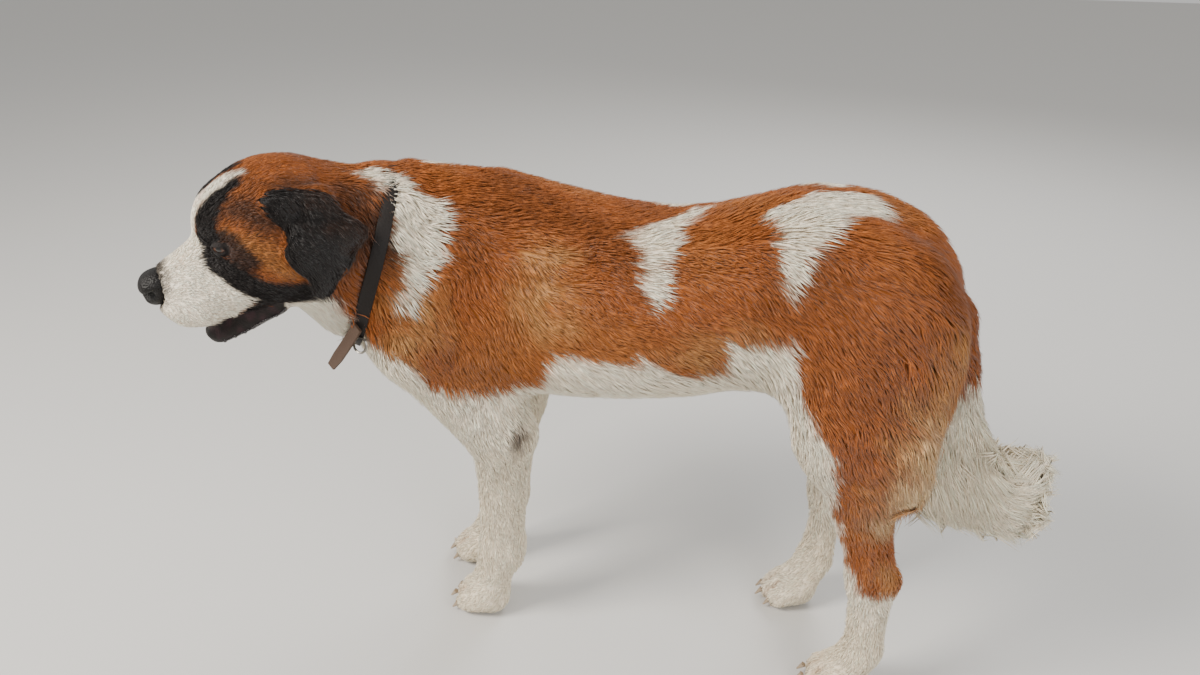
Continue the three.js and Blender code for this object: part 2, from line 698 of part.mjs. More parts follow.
// Tail, with the haunches taken out of its root, in four lengths
const rumpBox = boxAround([200, -240, 200], [520, 240, 820]);
const behind = solidOf(surfaceOf(swell(whole, 6 * nestGap), rumpBox, middling));
const tailSolid = solidOf(surfaceOf(tailForm, boxAround([280, -110, 200], [640, 90, 740]), middling))
  .subtract(behind);
const tailCuts = [
  cut(v(0, 0, 520), v(0, 0, -1)),
  cut(v(440, 0, 400), v(0.3, 0, -1)),
  cut(v(490, 0, 330), v(1, 0, 0)),
];
addSolid("tail_root", tailCuts[0].inner(tailSolid), coat.rust);
addSolid("tail_middle", tailCuts[1].inner(tailCuts[0].outer(tailSolid)), coat.white);
const brushes = tailCuts[1].outer(tailCuts[0].outer(tailSolid));
addSolid("tail_brush", tailCuts[2].inner(brushes), coat.white);
addSolid("tail_tip", tailCuts[2].outer(brushes), coat.white);

export default group;
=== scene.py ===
"""A standing Saint Bernard with its head turned to its left, as a still museum model.

Blender makes what the CAD solids leave plain: one skin over all the flesh, the coat in
tufts that follow its lie, the eyes with their lids, the nose, the mouth, the claws and the
leather of the collar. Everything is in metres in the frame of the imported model.
"""
import math

import bmesh
import bpy
import numpy as np
from mathutils import Matrix, Vector
from mathutils.bvhtree import BVHTree


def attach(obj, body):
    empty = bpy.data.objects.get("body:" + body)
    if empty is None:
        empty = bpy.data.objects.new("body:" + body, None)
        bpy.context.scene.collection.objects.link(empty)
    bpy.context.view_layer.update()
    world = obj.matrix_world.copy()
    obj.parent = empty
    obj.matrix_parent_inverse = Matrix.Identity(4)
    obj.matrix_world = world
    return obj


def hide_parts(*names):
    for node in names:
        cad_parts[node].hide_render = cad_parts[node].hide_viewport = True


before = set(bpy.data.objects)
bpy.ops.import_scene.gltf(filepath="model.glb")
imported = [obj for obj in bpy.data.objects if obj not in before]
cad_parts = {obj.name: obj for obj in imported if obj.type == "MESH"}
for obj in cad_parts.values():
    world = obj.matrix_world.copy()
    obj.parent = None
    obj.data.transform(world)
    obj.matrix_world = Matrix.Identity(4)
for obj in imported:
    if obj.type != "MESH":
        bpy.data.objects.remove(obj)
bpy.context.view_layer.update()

bl_info = {
    "name": "Saint Bernard",
    "version": (1, 0, 0),
    "blender": (4, 5, 0),
    "location": "View3D > Sidebar > Dog",
    "description": "Builds a standing Saint Bernard over its CAD solids",
    "category": "Object",
}

# Where the stance stands in the model's frame, and the head's own frame
STANCE = np.array((0.03411, 0.04764, 0.0))
HEAD_MIDDLE = np.array((-0.506, -0.172, 0.660))
HEAD_TURN, HEAD_DIP, HEAD_TILT = 35.0, 18.0, 4.0
EYE_PLACE = np.array((0.0245, 0.0500, 0.0275))
EYE_LOOK = Vector((0.42, 0.90, 0.08)).normalized()
HEAD_END = np.array((-0.428, -0.117, 0.710))
BEHIND_HEAD = np.array((0.858, 0.514, -0.008))
MIRROR = np.array((1.0, -1.0, 1.0))


def turned(axis, degrees):
    """A rotation as an array."""
    return np.array(Matrix.Rotation(math.radians(degrees), 3, axis))


HEAD_AXES = (turned("Z", HEAD_TURN) @ np.diag((-1.0, -1.0, 1.0))
             @ turned("Y", HEAD_DIP) @ turned("X", HEAD_TILT))


def to_head(points):
    """Points of the model in the head's frame: x to the nose, y to its left, z to the crown."""
    return (points - STANCE - HEAD_MIDDLE) @ HEAD_AXES


def from_head(points):
    """Points of the head's frame in the model's."""
    return np.asarray(points) @ HEAD_AXES.T + HEAD_MIDDLE + STANCE


def to_left(points):
    """Points with those of the right half mirrored onto the left."""
    return points * np.where(points[:, 1:2] < 0, MIRROR, 1)


# Colours
def linear(text):
    """A colour written as #rrggbb in screen values, made linear."""
    parts = [int(text[i:i + 2], 16) / 255 for i in (1, 3, 5)]
    return np.array([c / 12.92 if c <= 0.04045 else ((c + 0.055) / 1.055) ** 2.4 for c in parts])


RUST, DARK_RUST, GOLD = linear("#a55c26"), linear("#6b3a17"), linear("#d0a265")
WHITE, CREAM, BLACK = linear("#fbefdb"), linear("#ebd2a4"), linear("#181210")
BROWN, TAN, PINK = linear("#3d2415"), linear("#b0733a"), linear("#d0918a")
LIP_RED = linear("#3b2429")


# Fields over many points at once
def chain(points, beads):
    """Distance to a string of beads (x, y, z, radius in mm), negative inside it."""
    beads = np.array(beads, float) / 1000
    nearest = np.full(len(points), 9.0)
    if len(beads) == 1:
        return np.linalg.norm(points - beads[0, :3], axis=1) - beads[0, 3]
    for start, end in zip(beads[:-1], beads[1:]):
        along = end[:3] - start[:3]
        share = np.clip((points - start[:3]) @ along / (along @ along), 0, 1)
        radius = start[3] + (end[3] - start[3]) * share
        away = np.linalg.norm(points - start[:3] - share[:, None] * along, axis=1) - radius
        nearest = np.minimum(nearest, away)
    return nearest


def waves(points, size, seed):
    """Smooth noise from about -1 to 1 with waves of the given size."""
    rng = np.random.default_rng(seed)
    total = np.zeros(len(points))
    for octave in range(5):
        way = rng.normal(size=3)
        way *= 2 * math.pi / (size * (0.55 + 0.25 * octave)) / np.linalg.norm(way)
        total += np.sin(points @ way + rng.uniform(0, 6.28))
    return total / 2.6


def step(distance, edge):
    """From 1 inside to 0 outside, over a soft edge."""
    return np.clip(0.5 - distance / edge, 0, 1)[:, None]


def mix(base, colour, amount):
    return base * (1 - amount) + colour * amount


def stain(base, colour, distance, edge, amount=1.0):
    """The base with a colour laid over it where the distance is negative, over a soft edge."""
    return mix(base, colour, step(distance, edge) * amount)


# Markings (mm), on the left side or the middle: body and tail in the stance's frame, face in the head's
WHITE_EDGE_X = (-410, -348, -303, -270, -229, -185, -120, -100, -11, 19, 68, 145, 165, 205)
WHITE_EDGE_Z = (596, 534, 515, 480, 460, 454, 500, 543, 539, 556, 527, 546, 588, 592)
THIGH_EDGE_Z = (224, 307, 394, 464, 518, 592)
THIGH_EDGE_X = (330, 299, 277, 273, 226, 201)
# Where the white ends (m): the flank's rear end, and heights on thigh, hocks, belly and tail
FLANK_END, THIGH_TOP, HOCK_EDGE, BELLY_TOP, TAIL_EDGE = 0.205, 0.592, 0.222, 0.50, 0.535
BACK_PATCH = ((-30, -72, 690, 8), (14, -66, 696, 30), (24, -112, 668, 22), (38, -146, 612, 3))
BACK_PATCH_TOP = ((14, -66, 696, 30), (48, 18, 702, 14))
SADDLE = ((150, -48, 724, 14), (200, -60, 738, 44), (268, 8, 738, 34))
SADDLE_TIP = ((200, -72, 728, 40), (190, -134, 656, 5))
NECK_BAND = ((-338, -92, 740, 16), (-296, -112, 708, 34), (-290, -140, 664, 34), (-306, -152, 612, 16))
NECK_BAND_FAR = ((-338, 10, 740, 16), (-300, 70, 700, 34), (-300, 105, 650, 32), (-312, 110, 600, 16))
NAPE = ((-384, -80, 748, 16), (-338, -86, 742, 14))
GOLD_PLACES = (
    ((-290, -156, 600, 26), (-306, -168, 552, 22)),
    ((-122, -118, 680, 12), (-116, -152, 600, 24)),
    ((400, -112, 600, 24), (388, -130, 520, 40), (372, -140, 415, 42), (350, -140, 372, 26)),
    ((70, -142, 560, 14), (140, -140, 575, 18)),
    ((372, -124, 262, 12), (384, -122, 232, 10)),
)
BLOND_FRINGE = ((392, -134, 500, 22), (380, -140, 430, 30), (358, -144, 372, 18))
ELBOW_SPOT = ((-160, -122, 398, 14), (-176, -120, 376, 10))
EYE_PATCH = ((-12, 40, 90, 12), (14, 46, 80, 15), (38, 51, 56, 20), (50, 50, 34, 23), (49, 52, 9, 23),
             (30, 62, -20, 23), (6, 70, -46, 23), (-44, 72, -64, 20))
EYE_SPOT = ((22, 70, 34, 17), (12, 76, 6, 16))
FAR_BROW = ((-16, 4, 106, 11), (-2, -8, 96, 17), (20, -20, 84, 20), (40, -34, 58, 19))
LIP = ((-70, 56, -82, 15), (-30, 60, -72, 17), (12, 64, -56, 16), (40, 50, -68, 13), (64, 34, -78, 8))
DARK_BROW = ((8, 60, 72, 12), (-14, 68, 64, 19), (-34, 78, 40, 17))
TAN_PATCH = ((18, 68, 46, 3), (2, 76, 28, 9), (-14, 80, 6, 15), (-24, 82, -16, 15), (-34, 82, -30, 8))
EAR_FLAP = (
    ((-54, 80, 60, 13), (-56, 97, -10, 14), (-62, 100, -58, 14)),
    ((-88, 80, 48, 14), (-92, 97, -10, 26), (-72, 100, -48, 18)),
    ((-114, 74, 40, 12), (-124, 94, -8, 20)),
    ((-64, 80, 58, 14), (-100, 78, 54, 14)),
)
EAR_TOP = ((-56, 64, 76, 10), (-104, 58, 64, 15), (-140, 60, 52, 18))
PINK_SKIN = ((26, 14, 84, 7), (38, 12, 72, 4))
NOSE_BRIDGE = ((122, 0, 24, 9), (114, 16, 16, 8))
DARK_NECK = ((-150, 60, 52, 34), (-154, 74, 0, 36), (-148, 74, -34, 36))
MUZZLE_EDGE_Z = (-84, -70, -56, -43, -36, -18, 4, 27, 55)
MUZZLE_EDGE_X = (90, 64, 42, 20, 32, 43, 56, 65, 60)
BLAZE_X = (-36, -28, 0, 20, 45)
BLAZE_NEAR = (22, 33, 36, 36, 35)
BLAZE_FAR = (26, 24, 14, 6, -16)
TAIL_LINE = ((352, 0, 636, 50), (384, -4, 590, 52), (404, -8, 520, 50), (416, -12, 450, 50),
             (442, -14, 376, 60), (500, -16, 340, 62), (534, -16, 384, 44), (526, -16, 418, 30))


def body_colour(stance):
    """The coat's colour away from the head."""
    x, y, z = stance.T
    near = stance * np.where(stance[:, 1:2] > 0, MIRROR, 1)
    jitter = waves(stance, 0.05, 3) * 0.005 + waves(stance, 0.012, 4) * 0.003
    deep = waves(stance, 0.22, 5)
    colour = mix(RUST, DARK_RUST, np.clip(deep * 0.5, 0, 0.45)[:, None])
    colour = mix(colour, TAN, np.clip(-deep * 0.45, 0, 0.4)[:, None])
    streaks = np.clip(0.55 + 0.3 * waves(near, 0.03, 6)[:, None], 0, 0.8)
    for beads in GOLD_PLACES:
        colour = stain(colour, GOLD, chain(near, beads) + 2 * jitter, 0.07, streaks)
    blond = np.clip(0.6 + 0.3 * waves(near, 0.02, 14), 0, 0.85)[:, None]
    colour = stain(colour, CREAM, chain(near, BLOND_FRINGE) + 2 * jitter, 0.05, blond)
    behind_ear = chain(to_head(stance + STANCE), DARK_NECK)
    colour = stain(colour, BROWN, behind_ear + 2 * jitter, 0.04, 0.9)
    edge = np.interp(x * 1000, WHITE_EDGE_X, WHITE_EDGE_Z) / 1000
    front = np.maximum(z - edge, x - FLANK_END)
    inner = np.abs(y) - 0.085
    front = np.minimum(front, np.maximum(np.maximum(z - 0.56, inner), x - 0.2))
    thigh = np.interp(z * 1000, THIGH_EDGE_Z, THIGH_EDGE_X) / 1000
    haunch = np.maximum(x - thigh + np.where(y > 0, 0.03, 0), z - THIGH_TOP)
    white = np.minimum(front, np.maximum(haunch, 0.12 - x))
    white = np.minimum(white, z - HOCK_EDGE)
    white = np.minimum(white, np.maximum(np.abs(y) - 0.075, z - BELLY_TOP))
    for beads in (BACK_PATCH, BACK_PATCH_TOP, SADDLE, SADDLE_TIP):
        white = np.minimum(white, chain(stance, beads))
    for beads in (BACK_PATCH, SADDLE_TIP):
        white = np.minimum(white, chain(stance * MIRROR, beads) + 0.006)
    for beads in (NECK_BAND, NECK_BAND_FAR, NAPE):
        white = np.minimum(white, chain(stance, beads))
    tail = chain(stance, TAIL_LINE)
    on_tail = (tail < 0.012) & (x > 0.392) & (np.abs(y + 0.014) < 0.062)
    white = np.where(on_tail, z - TAIL_EDGE, white)
    colour = stain(colour, WHITE, white + jitter, 0.008)
    cream = step(white + 0.03, 0.12) * (0.22 + 0.1 * deep[:, None])
    colour = mix(colour, CREAM, np.clip(cream, 0, 0.3) * step(white, 0.004))
    # Painted shade: the white of the paws turns tan in the grooves between the toes
    colour = mix(colour, TAN, toe_gaps(stance)[:, None] * 0.45)
    return stain(colour, BROWN, chain(near, ELBOW_SPOT) + jitter, 0.014, 0.8)


def head_colour(local, stance):
    """The colour of the head, at places in the head's frame."""
    x, y, z = local.T
    side = to_left(local)
    jitter = waves(local, 0.018, 7) * 0.0022
    deep = np.clip(waves(local, 0.06, 8) * 0.4, 0, 0.4)[:, None]
    colour = mix(RUST, DARK_RUST, deep)
    colour = stain(colour, BROWN, chain(side, DARK_BROW) + jitter, 0.024, 0.85)
    colour = stain(colour, BROWN, chain(side, EAR_TOP) + 2 * jitter, 0.026, 0.8)
    colour = stain(colour, TAN, chain(side, TAN_PATCH) + 1.5 * jitter, 0.014, 0.85)
    colour = stain(colour, BLACK, chain(local, FAR_BROW) + jitter, 0.008)
    colour = stain(colour, BLACK, chain(side, LIP) + jitter, 0.006)
    colour = stain(colour, BLACK, chain(side, EYE_PATCH) + jitter, 0.008)
    colour = stain(colour, BLACK, chain(side, EYE_SPOT) + jitter, 0.010, 0.9)
    muzzle = np.interp(z * 1000, MUZZLE_EDGE_Z, MUZZLE_EDGE_X) / 1000 - x
    near = y * 1000 - np.interp(x * 1000, BLAZE_X, BLAZE_NEAR)
    far = np.interp(x * 1000, BLAZE_X, BLAZE_FAR) - y * 1000
    blaze = np.maximum(np.maximum(near, far) / 1000, 0.012 - z)
    blaze = np.maximum(blaze, -0.027 - x - 0.3 * (y - 0.02))
    white = np.minimum(muzzle, blaze)
    throat = np.maximum(z + 0.075, x)
    white = np.minimum(white, np.maximum(throat, stance[:, 2] - 0.612))
    colour = stain(colour, WHITE, white + jitter, 0.005)
    speckle = (waves(local, 0.009, 9) > 1.15) & (x > 0.07)
    colour = mix(colour, TAN, speckle[:, None] * 0.35)
    colour = stain(colour, PINK, chain(local, PINK_SKIN), 0.01, 0.7)
    colour = stain(colour, BROWN, chain(side, NOSE_BRIDGE) + jitter, 0.014, 0.75)
    around_nose = np.linalg.norm((side - (0.132, 0, 0.004)) / (1, 1.2, 1), axis=1) - 0.0325
    colour = stain(colour, BLACK, around_nose + 1.5 * jitter, 0.010, 0.75)
    jaw = np.maximum(np.maximum(z + 0.066, -0.008 - x), x - 0.2)
    redness = np.clip(0.35 + waves(local, 0.02, 13), 0, 1)[:, None] * 0.5
    colour = stain(colour, mix(BLACK, LIP_RED, redness), jaw, 0.004)
    browned = 0.2 + 12 * (-x - 0.10) + 8 * (z - 0.02) + 0.3 * waves(local, 0.03, 10)
    ear = mix(BLACK, BROWN, np.clip(browned, 0, 0.8)[:, None])
    return mix(colour, ear, ear_share(local)[:, None])


def ear_share(local):
    """1 on the outer side of the ears' flaps, 0 elsewhere."""
    side = to_left(local)
    flap = np.min([chain(side, beads) for beads in EAR_FLAP], axis=0)
    outer = side[:, 1] > 0.083 - np.clip(side[:, 2] - 0.02, 0, 1) * 0.30
    return (flap < 0.004) * outer * 1.0


def head_share(points):
    """1 on the head and 0 on the body, with a soft change behind the skull."""
    local = to_head(points)
    stance = points - STANCE
    behind = (stance - HEAD_END) @ BEHIND_HEAD
    ears = ear_share(local) > 0.5
    share = np.clip(0.5 - behind / 0.02, 0, 1)
    return np.where(ears & (local[:, 0] > -0.16), 1.0, share) * (stance[:, 2] > 0.5)


def coat_colour(points):
    """The markings at any place, with painted shade between the toes, for the skin and the coat alike."""
    stance = points - STANCE
    share = head_share(points)[:, None]
    return np.clip(mix(body_colour(stance), head_colour(to_head(points), stance), share), 0, 1)


# Lie of the coat: place (mm), way the hair points, length (mm), depth over the skin (mm)
BODY_LIE = (
    ((-360, -140, 690), (0.5, -0.25, -0.75), 34, 12), ((-300, -140, 660), (0.9, -0.1, -0.3), 36, 12),
    ((-400, -160, 600), (0.35, -0.2, -0.9), 36, 12), ((-300, -160, 560), (0.6, 0, -0.8), 32, 10),
    ((-350, -20, 745), (0.95, 0.1, 0), 30, 9), ((-220, -20, 724), (1, 0, 0), 26, 8),
    ((-200, -150, 600), (0.6, 0, -0.8), 24, 7), ((-230, -150, 480), (0.35, 0, -0.95), 24, 7),
    ((-380, 0, 520), (0.2, 0, -1), 34, 12),
    ((-430, -110, 556), (-0.05, -0.2, -1), 42, 14), ((-320, -40, 440), (0.5, 0, -0.8), 28, 9),
    ((-60, -20, 700), (1, 0, 0), 24, 7), ((-60, -150, 580), (0.9, 0, -0.35), 24, 7),
    ((60, -145, 600), (0.92, 0, -0.35), 24, 7), ((60, -100, 450), (0.9, 0, -0.3), 28, 8),
    ((-40, 0, 435), (0.95, 0, -0.2), 26, 8), ((150, -60, 470), (0.7, 0, -0.7), 32, 10),
    ((200, -30, 745), (1, 0, -0.05), 26, 8), ((200, -130, 620), (0.8, 0, -0.55), 26, 8),
    ((290, -120, 680), (0.8, 0, -0.6), 28, 8), ((380, -60, 650), (0.6, 0, -0.8), 36, 11),
    ((300, -160, 520), (0.55, 0, -0.85), 28, 8), ((390, -120, 580), (0.35, -0.1, -0.95), 44, 13),
    ((370, -130, 480), (0.45, -0.1, -0.9), 50, 14), ((355, -130, 400), (0.5, 0, -0.85), 44, 11),
    ((250, -130, 420), (0.4, 0, -0.9), 20, 5), ((300, -130, 320), (0.35, 0, -0.95), 18, 4.5),
    ((350, -105, 230), (0.15, 0, -1), 15, 4), ((350, -95, 130), (-0.05, 0, -1), 13, 3.5),
    ((310, -90, 50), (-0.8, 0, -0.6), 11, 3), ((-190, -110, 400), (0.3, 0, -0.95), 22, 6),
    ((-170, -95, 350), (0.4, 0, -0.9), 24, 6), ((-200, -80, 250), (0.12, 0, -1), 15, 4),
    ((-215, -70, 140), (0, 0, -1), 13, 3.5), ((-265, -62, 50), (-0.8, 0, -0.6), 11, 3),
)
TAIL_LIE = (
    ((380, 0, 630), (0.5, 0, -0.85), 46, 13), ((415, -8, 540), (0.25, 0, -0.95), 54, 14),
    ((430, -12, 460), (0.25, 0, -0.95), 64, 16), ((450, -14, 390), (0.4, 0, -0.9), 74, 22),
    ((430, -14, 320), (0.4, 0, -0.9), 70, 20), ((480, -14, 280), (0.65, 0, -0.75), 72, 20),
    ((530, -16, 295), (0.85, 0, -0.4), 64, 18), ((572, -16, 340), (0.6, 0, 0.6), 54, 15),
    ((560, -16, 400), (0.35, 0, 0.9), 44, 12), ((530, -16, 425), (0.45, 0, 0.9), 42, 9),
    ((500, -16, 400), (0.3, 0, 0.95), 44, 12),
)
HEAD_LIE = (
    ((-50, 10, -84), (-0.6, 0, -0.8), 26, 8), ((-95, 30, -86), (-0.6, 0.1, -0.8), 36, 11),
    ((125, 20, 10), (-0.9, 0.3, 0.1), 7, 1.6), ((80, 0, 34), (-1, 0, 0.1), 8, 2),
    ((80, 40, -30), (-0.7, 0.1, -0.6), 10, 2.2), ((110, 30, -55), (-0.4, 0, -0.9), 8, 1.8),
    ((20, 45, 84), (-0.9, 0.1, 0.4), 12, 3), ((30, 60, 50), (-0.8, 0.2, 0.3), 9, 2.2),
    ((30, 62, -10), (-0.8, 0.2, -0.5), 12, 3), ((-20, 80, 20), (-0.9, 0.1, -0.3), 16, 4),
    ((-20, 75, -50), (-0.7, 0, -0.7), 20, 5), ((-40, 20, 98), (-1, 0, -0.05), 18, 5),
    ((-100, 20, 95), (-1, 0, -0.3), 24, 7), ((-60, 30, -90), (-0.8, 0, -0.5), 30, 9),
    ((-60, 100, 40), (-0.25, 0.1, -0.95), 16, 4), ((-120, 96, 10), (-0.25, 0, -0.95), 24, 5),
    ((-60, 104, -50), (-0.1, 0, -1), 15, 3.5), ((60, 10, -90), (-1, 0, 0), 6, 1.2),
    ((0, 60, -85), (-1, 0, -0.1), 8, 2),
)


def lie_table():
    """All the places of the lie, in the model's frame: place, way, length and depth."""
    rows = []
    for table, sides in ((BODY_LIE, (1, -1)), (TAIL_LIE, (1,)), (HEAD_LIE, (1, -1))):
        for place, way, length, depth in table:
            for side in sides:
                place_here = np.array(place) * (1, side, 1) / 1000
                way_here = np.array(way, float) * (1, side, 1)
                if table is HEAD_LIE:
                    rows.append((from_head(place_here), HEAD_AXES @ way_here, length, depth))
                else:
                    rows.append((place_here + STANCE, way_here, length, depth))
    places = np.array([row[0] for row in rows])
    ways = np.array([row[1] / np.linalg.norm(row[1]) for row in rows])
    sizes = np.array([row[2:] for row in rows]) / 1000
    return places, ways, sizes


LIE_PLACES, LIE_WAYS, LIE_SIZES = lie_table()


def lie_at(points, normals):
    """The way of the hair along the skin, its length and the coat's depth at each point."""
    ways = np.zeros((len(points), 3))
    sizes = np.zeros((len(points), 2))
    total = np.zeros(len(points))
    for place, way, size in zip(LIE_PLACES, LIE_WAYS, LIE_SIZES):
        weight = 1 / (np.sum((points - place) ** 2, axis=1) + 0.0004) ** 2
        ways += weight[:, None] * way
        sizes += weight[:, None] * size
        total += weight
    ways -= normals * np.sum(ways * normals, axis=1)[:, None]
    ways /= np.linalg.norm(ways, axis=1)[:, None] + 1e-9
    return ways, sizes[:, 0] / total, sizes[:, 1] / total


# Mesh helpers
def mesh_arrays(mesh):
    """The places and normals of a mesh's corners."""
    points = np.empty(len(mesh.vertices) * 3, np.float32)
    normals = np.empty(len(mesh.vertices) * 3, np.float32)
    mesh.vertices.foreach_get("co", points)
    mesh.vertices.foreach_get("normal", normals)
    return points.reshape(-1, 3).astype(float), normals.reshape(-1, 3).astype(float)


def put_points(mesh, points):
    mesh.vertices.foreach_set("co", points.astype(np.float32).ravel())
    mesh.update()


def new_object(name, mesh):
    piece = bpy.data.objects.new(name, mesh)
    bpy.context.scene.collection.objects.link(piece)
    return piece


def paint(mesh, colours):
    """Stores the markings at the mesh's corners as a colour attribute."""
    layer = mesh.color_attributes.new("marking", "FLOAT_COLOR", "POINT")
    values = np.ones((len(mesh.vertices), 4), np.float32)
    values[:, :3] = colours
    layer.data.foreach_set("color", values.ravel())


def finish_piece(piece, material, slot, *nodes):
    """Gives a piece its material (the slot is not used), and lets it ride on the root in place of CAD
    nodes.
    """
    piece.data.materials.clear()
    piece.data.materials.append(material)
    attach(piece, "root")
    if nodes:
        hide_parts(*nodes)
    return piece


def copy_of(names, name):
    """One mesh of copies of the CAD nodes, with their corners merged."""
    whole = bmesh.new()
    for node in names:
        whole.from_mesh(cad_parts[node].data)
    bmesh.ops.remove_doubles(whole, verts=whole.verts, dist=1e-6)
    mesh = bpy.data.meshes.new(name)
    whole.to_mesh(mesh)
    whole.free()
    return mesh


def tree_of(mesh):
    """A search tree over the mesh, for the nearest place on it."""
    return BVHTree.FromPolygons([v.co[:] for v in mesh.vertices], [p.vertices[:] for p in mesh.polygons])


def ball_mesh(name, make_ball, **sizes):
    """A ball about the origin, as a mesh with its points."""
    ball = bmesh.new()
    make_ball(ball, **sizes)
    mesh = bpy.data.meshes.new(name)
    ball.to_mesh(mesh)
    ball.free()
    return mesh, mesh_arrays(mesh)[0]


def apply_modifiers(piece):
    depsgraph = bpy.context.evaluated_depsgraph_get()
    mesh = bpy.data.meshes.new_from_object(piece.evaluated_get(depsgraph))
    piece.modifiers.clear()
    piece.data = mesh
    return mesh


# Materials
def add_node(tree, kind, settings=None, **links):
    """Adds one node, sets its inputs and properties, and links sockets given by name."""
    node = tree.nodes.new(kind)
    for key, value in (settings or {}).items():
        if key in node.inputs:
            node.inputs[key].default_value = value
        else:
            setattr(node, key, value)
    for key, socket in links.items():
        tree.links.new(socket, node.inputs[key.replace("_", " ")])
    return node


def new_material(name, settings):
    material = bpy.data.materials.new(name)
    material.use_nodes = True
    shader = material.node_tree.nodes["Principled BSDF"]
    for key, value in settings.items():
        shader.inputs[key].default_value = value
    return material, material.node_tree, shader


def rgba(colour):
    return (*[float(c) for c in colour], 1.0)


def show_marking(tree, shader):
    """Lets the shader take its base colour from the stored markings."""
    colour = add_node(tree, "ShaderNodeVertexColor", {"layer_name": "marking"})
    tree.links.new(colour.outputs["Color"], shader.inputs["Base Color"])


def hair_material():
    """Coat of hair locks: a soft sheen on rough strands."""
    material, tree, shader = new_material("coat_of_hair_locks", {
        "Roughness": 0.62, "Sheen Weight": 0.12, "Sheen Roughness": 0.4, "Specular IOR Level": 0.25,
    })
    show_marking(tree, shader)
    return material


def skin_material():
    """Short coat pressed to the skin: the markings broken by fine streaks of hair in the bump."""
    material, tree, shader = new_material("short_coat_on_skin", {
        "Roughness": 0.7, "Sheen Weight": 0.1, "Specular IOR Level": 0.2,
    })
    show_marking(tree, shader)
    place = add_node(tree, "ShaderNodeTexCoord")
    grain = add_node(tree, "ShaderNodeTexNoise", {"Scale": 420.0, "Detail": 3.0},
                     Vector=place.outputs["Object"])
    bump = add_node(tree, "ShaderNodeBump", {"Strength": 0.5, "Distance": 0.002},
                    Height=grain.outputs["Fac"])
    tree.links.new(bump.outputs["Normal"], shader.inputs["Normal"])
    return material


def bare_material(name, colour, roughness, scale=300.0, depth=0.0004, **extra):
    """Bare surface with a fine pebble, so that the light breaks on it."""
    base = linear(colour) if isinstance(colour, str) else np.array(colour)
    settings = {"Base Color": rgba(base), "Roughness": roughness}
    settings.update({key.replace("_", " "): value for key, value in extra.items()})
    material, tree, shader = new_material(name, settings)
    place = add_node(tree, "ShaderNodeTexCoord")
    cells = add_node(tree, "ShaderNodeTexVoronoi", {"Scale": scale}, Vector=place.outputs["Object"])
    bump = add_node(tree, "ShaderNodeBump", {"Strength": 0.6, "Distance": depth},
                    Height=cells.outputs["Distance"])
    tree.links.new(bump.outputs["Normal"], shader.inputs["Normal"])
    return material


# Skin: the slit of the lids, which leans down toward the ear (m, degrees), and the skin round it
SLIT_HALF_LENGTH, SLIT_HALF_HEIGHT, SLIT_LEAN = 0.0110, 0.0041, 26.0
LID_REACH, LID_EDGE, INSIDE_SLIT, LID_HEIGHT, LID_RIM = 0.028, 0.009, 0.0102, 0.0148, 0.0016
FLESH = [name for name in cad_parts
         if not name.startswith(("claw", "eye", "collar", "nose", "tongue"))]
VOXEL, SMOOTHINGS, FLESH_SWELL, COAT_SHARE = 0.0052, 9, 0.0012, 0.85
# Reaches round each eye in which the skin's mesh is halved, once each
EYE_REACHES = (0.032, 0.027, 0.0225)
# Forms of the face: place, reach and height, all in mm
FACE_FORMS = (
    # Inner corner of the eye, ridge of the brow, stop, furrow of the forehead
    ((46, 44, 26), 15, -5.0), ((30, 48, 52), 14, 2.5), ((46, 0, 40), 22, -4.0), ((14, 0, 92), 16, -2.5),
    # Flews, fold under the eye, cheek, groove under the nose
    ((84, 36, -36), 26, 3.0), ((40, 52, -20), 12, -2.5), ((4, 70, -36), 20, 2.0), ((128, 0, -24), 7, -2.5),
)


def brush(local, place, radius):
    """Weight of a soft brush at a place on either side of the head (mm)."""
    side = to_left(local)
    away = np.linalg.norm(side - np.array(place) / 1000, axis=1) / (radius / 1000)
    return np.exp(-away ** 2)


def slit_offsets(local):
    """Offsets from the eye's middle: ahead, and along and across the slit of the lids."""
    side = to_left(local)
    look = np.array(EYE_LOOK)
    up = np.array((0.0, 0.0, 1.0)) - look * look[2]
    up /= np.linalg.norm(up)
    forward = np.cross(look, up)
    offset = side - EYE_PLACE
    ahead, high, fore = offset @ look, offset @ up, offset @ forward
    lean = math.radians(SLIT_LEAN)
    along = fore * math.cos(lean) + high * math.sin(lean)
    across = high * math.cos(lean) - fore * math.sin(lean)
    return offset, ahead, along, across


def lids(local):
    """Draws the skin over the eyeball, with an almond slit that shows the eye."""
    offset, ahead, along, across = slit_offsets(local)
    reach = np.linalg.norm(offset, axis=1)
    almond = np.abs(across) / SLIT_HALF_HEIGHT + (along / SLIT_HALF_LENGTH) ** 2 - 1
    close = (reach < LID_REACH) & (ahead > -0.004)
    shell = np.where(almond < 0, INSIDE_SLIT, LID_HEIGHT + LID_RIM * np.exp(-(almond / 0.7) ** 2))
    share = np.clip((LID_REACH - reach) / LID_EDGE, 0, 1)
    target = np.where(share > 0, reach + (shell - reach) * share, reach)
    moved = EYE_PLACE + offset * (target / np.maximum(reach, 1e-6))[:, None]
    side = np.where(local[:, 1:2] < 0, MIRROR, 1)
    return np.where(close[:, None], moved * side, local)


def sculpt_head(points, normals):
    """Draws the face's forms on the front of the head, both sides alike."""
    local = to_head(points)
    share = np.clip((local[:, 0] + 0.11) / 0.02, 0, 1) * (points[:, 2] > 0.5)
    push = sum(height * brush(local, place, reach) for place, reach, height in FACE_FORMS)
    return points + normals * (push * share / 1000)[:, None]


# Paws: place on the floor (mm), turn outward (degrees) and size
PAWS = ((-250, -60, 8, 1.0), (-300, 60, -2, 1.0), (322, -90, 3, 0.95), (240, 90, 4, 0.95))
TOE_GAPS = (-19.5, 0, 19.5)
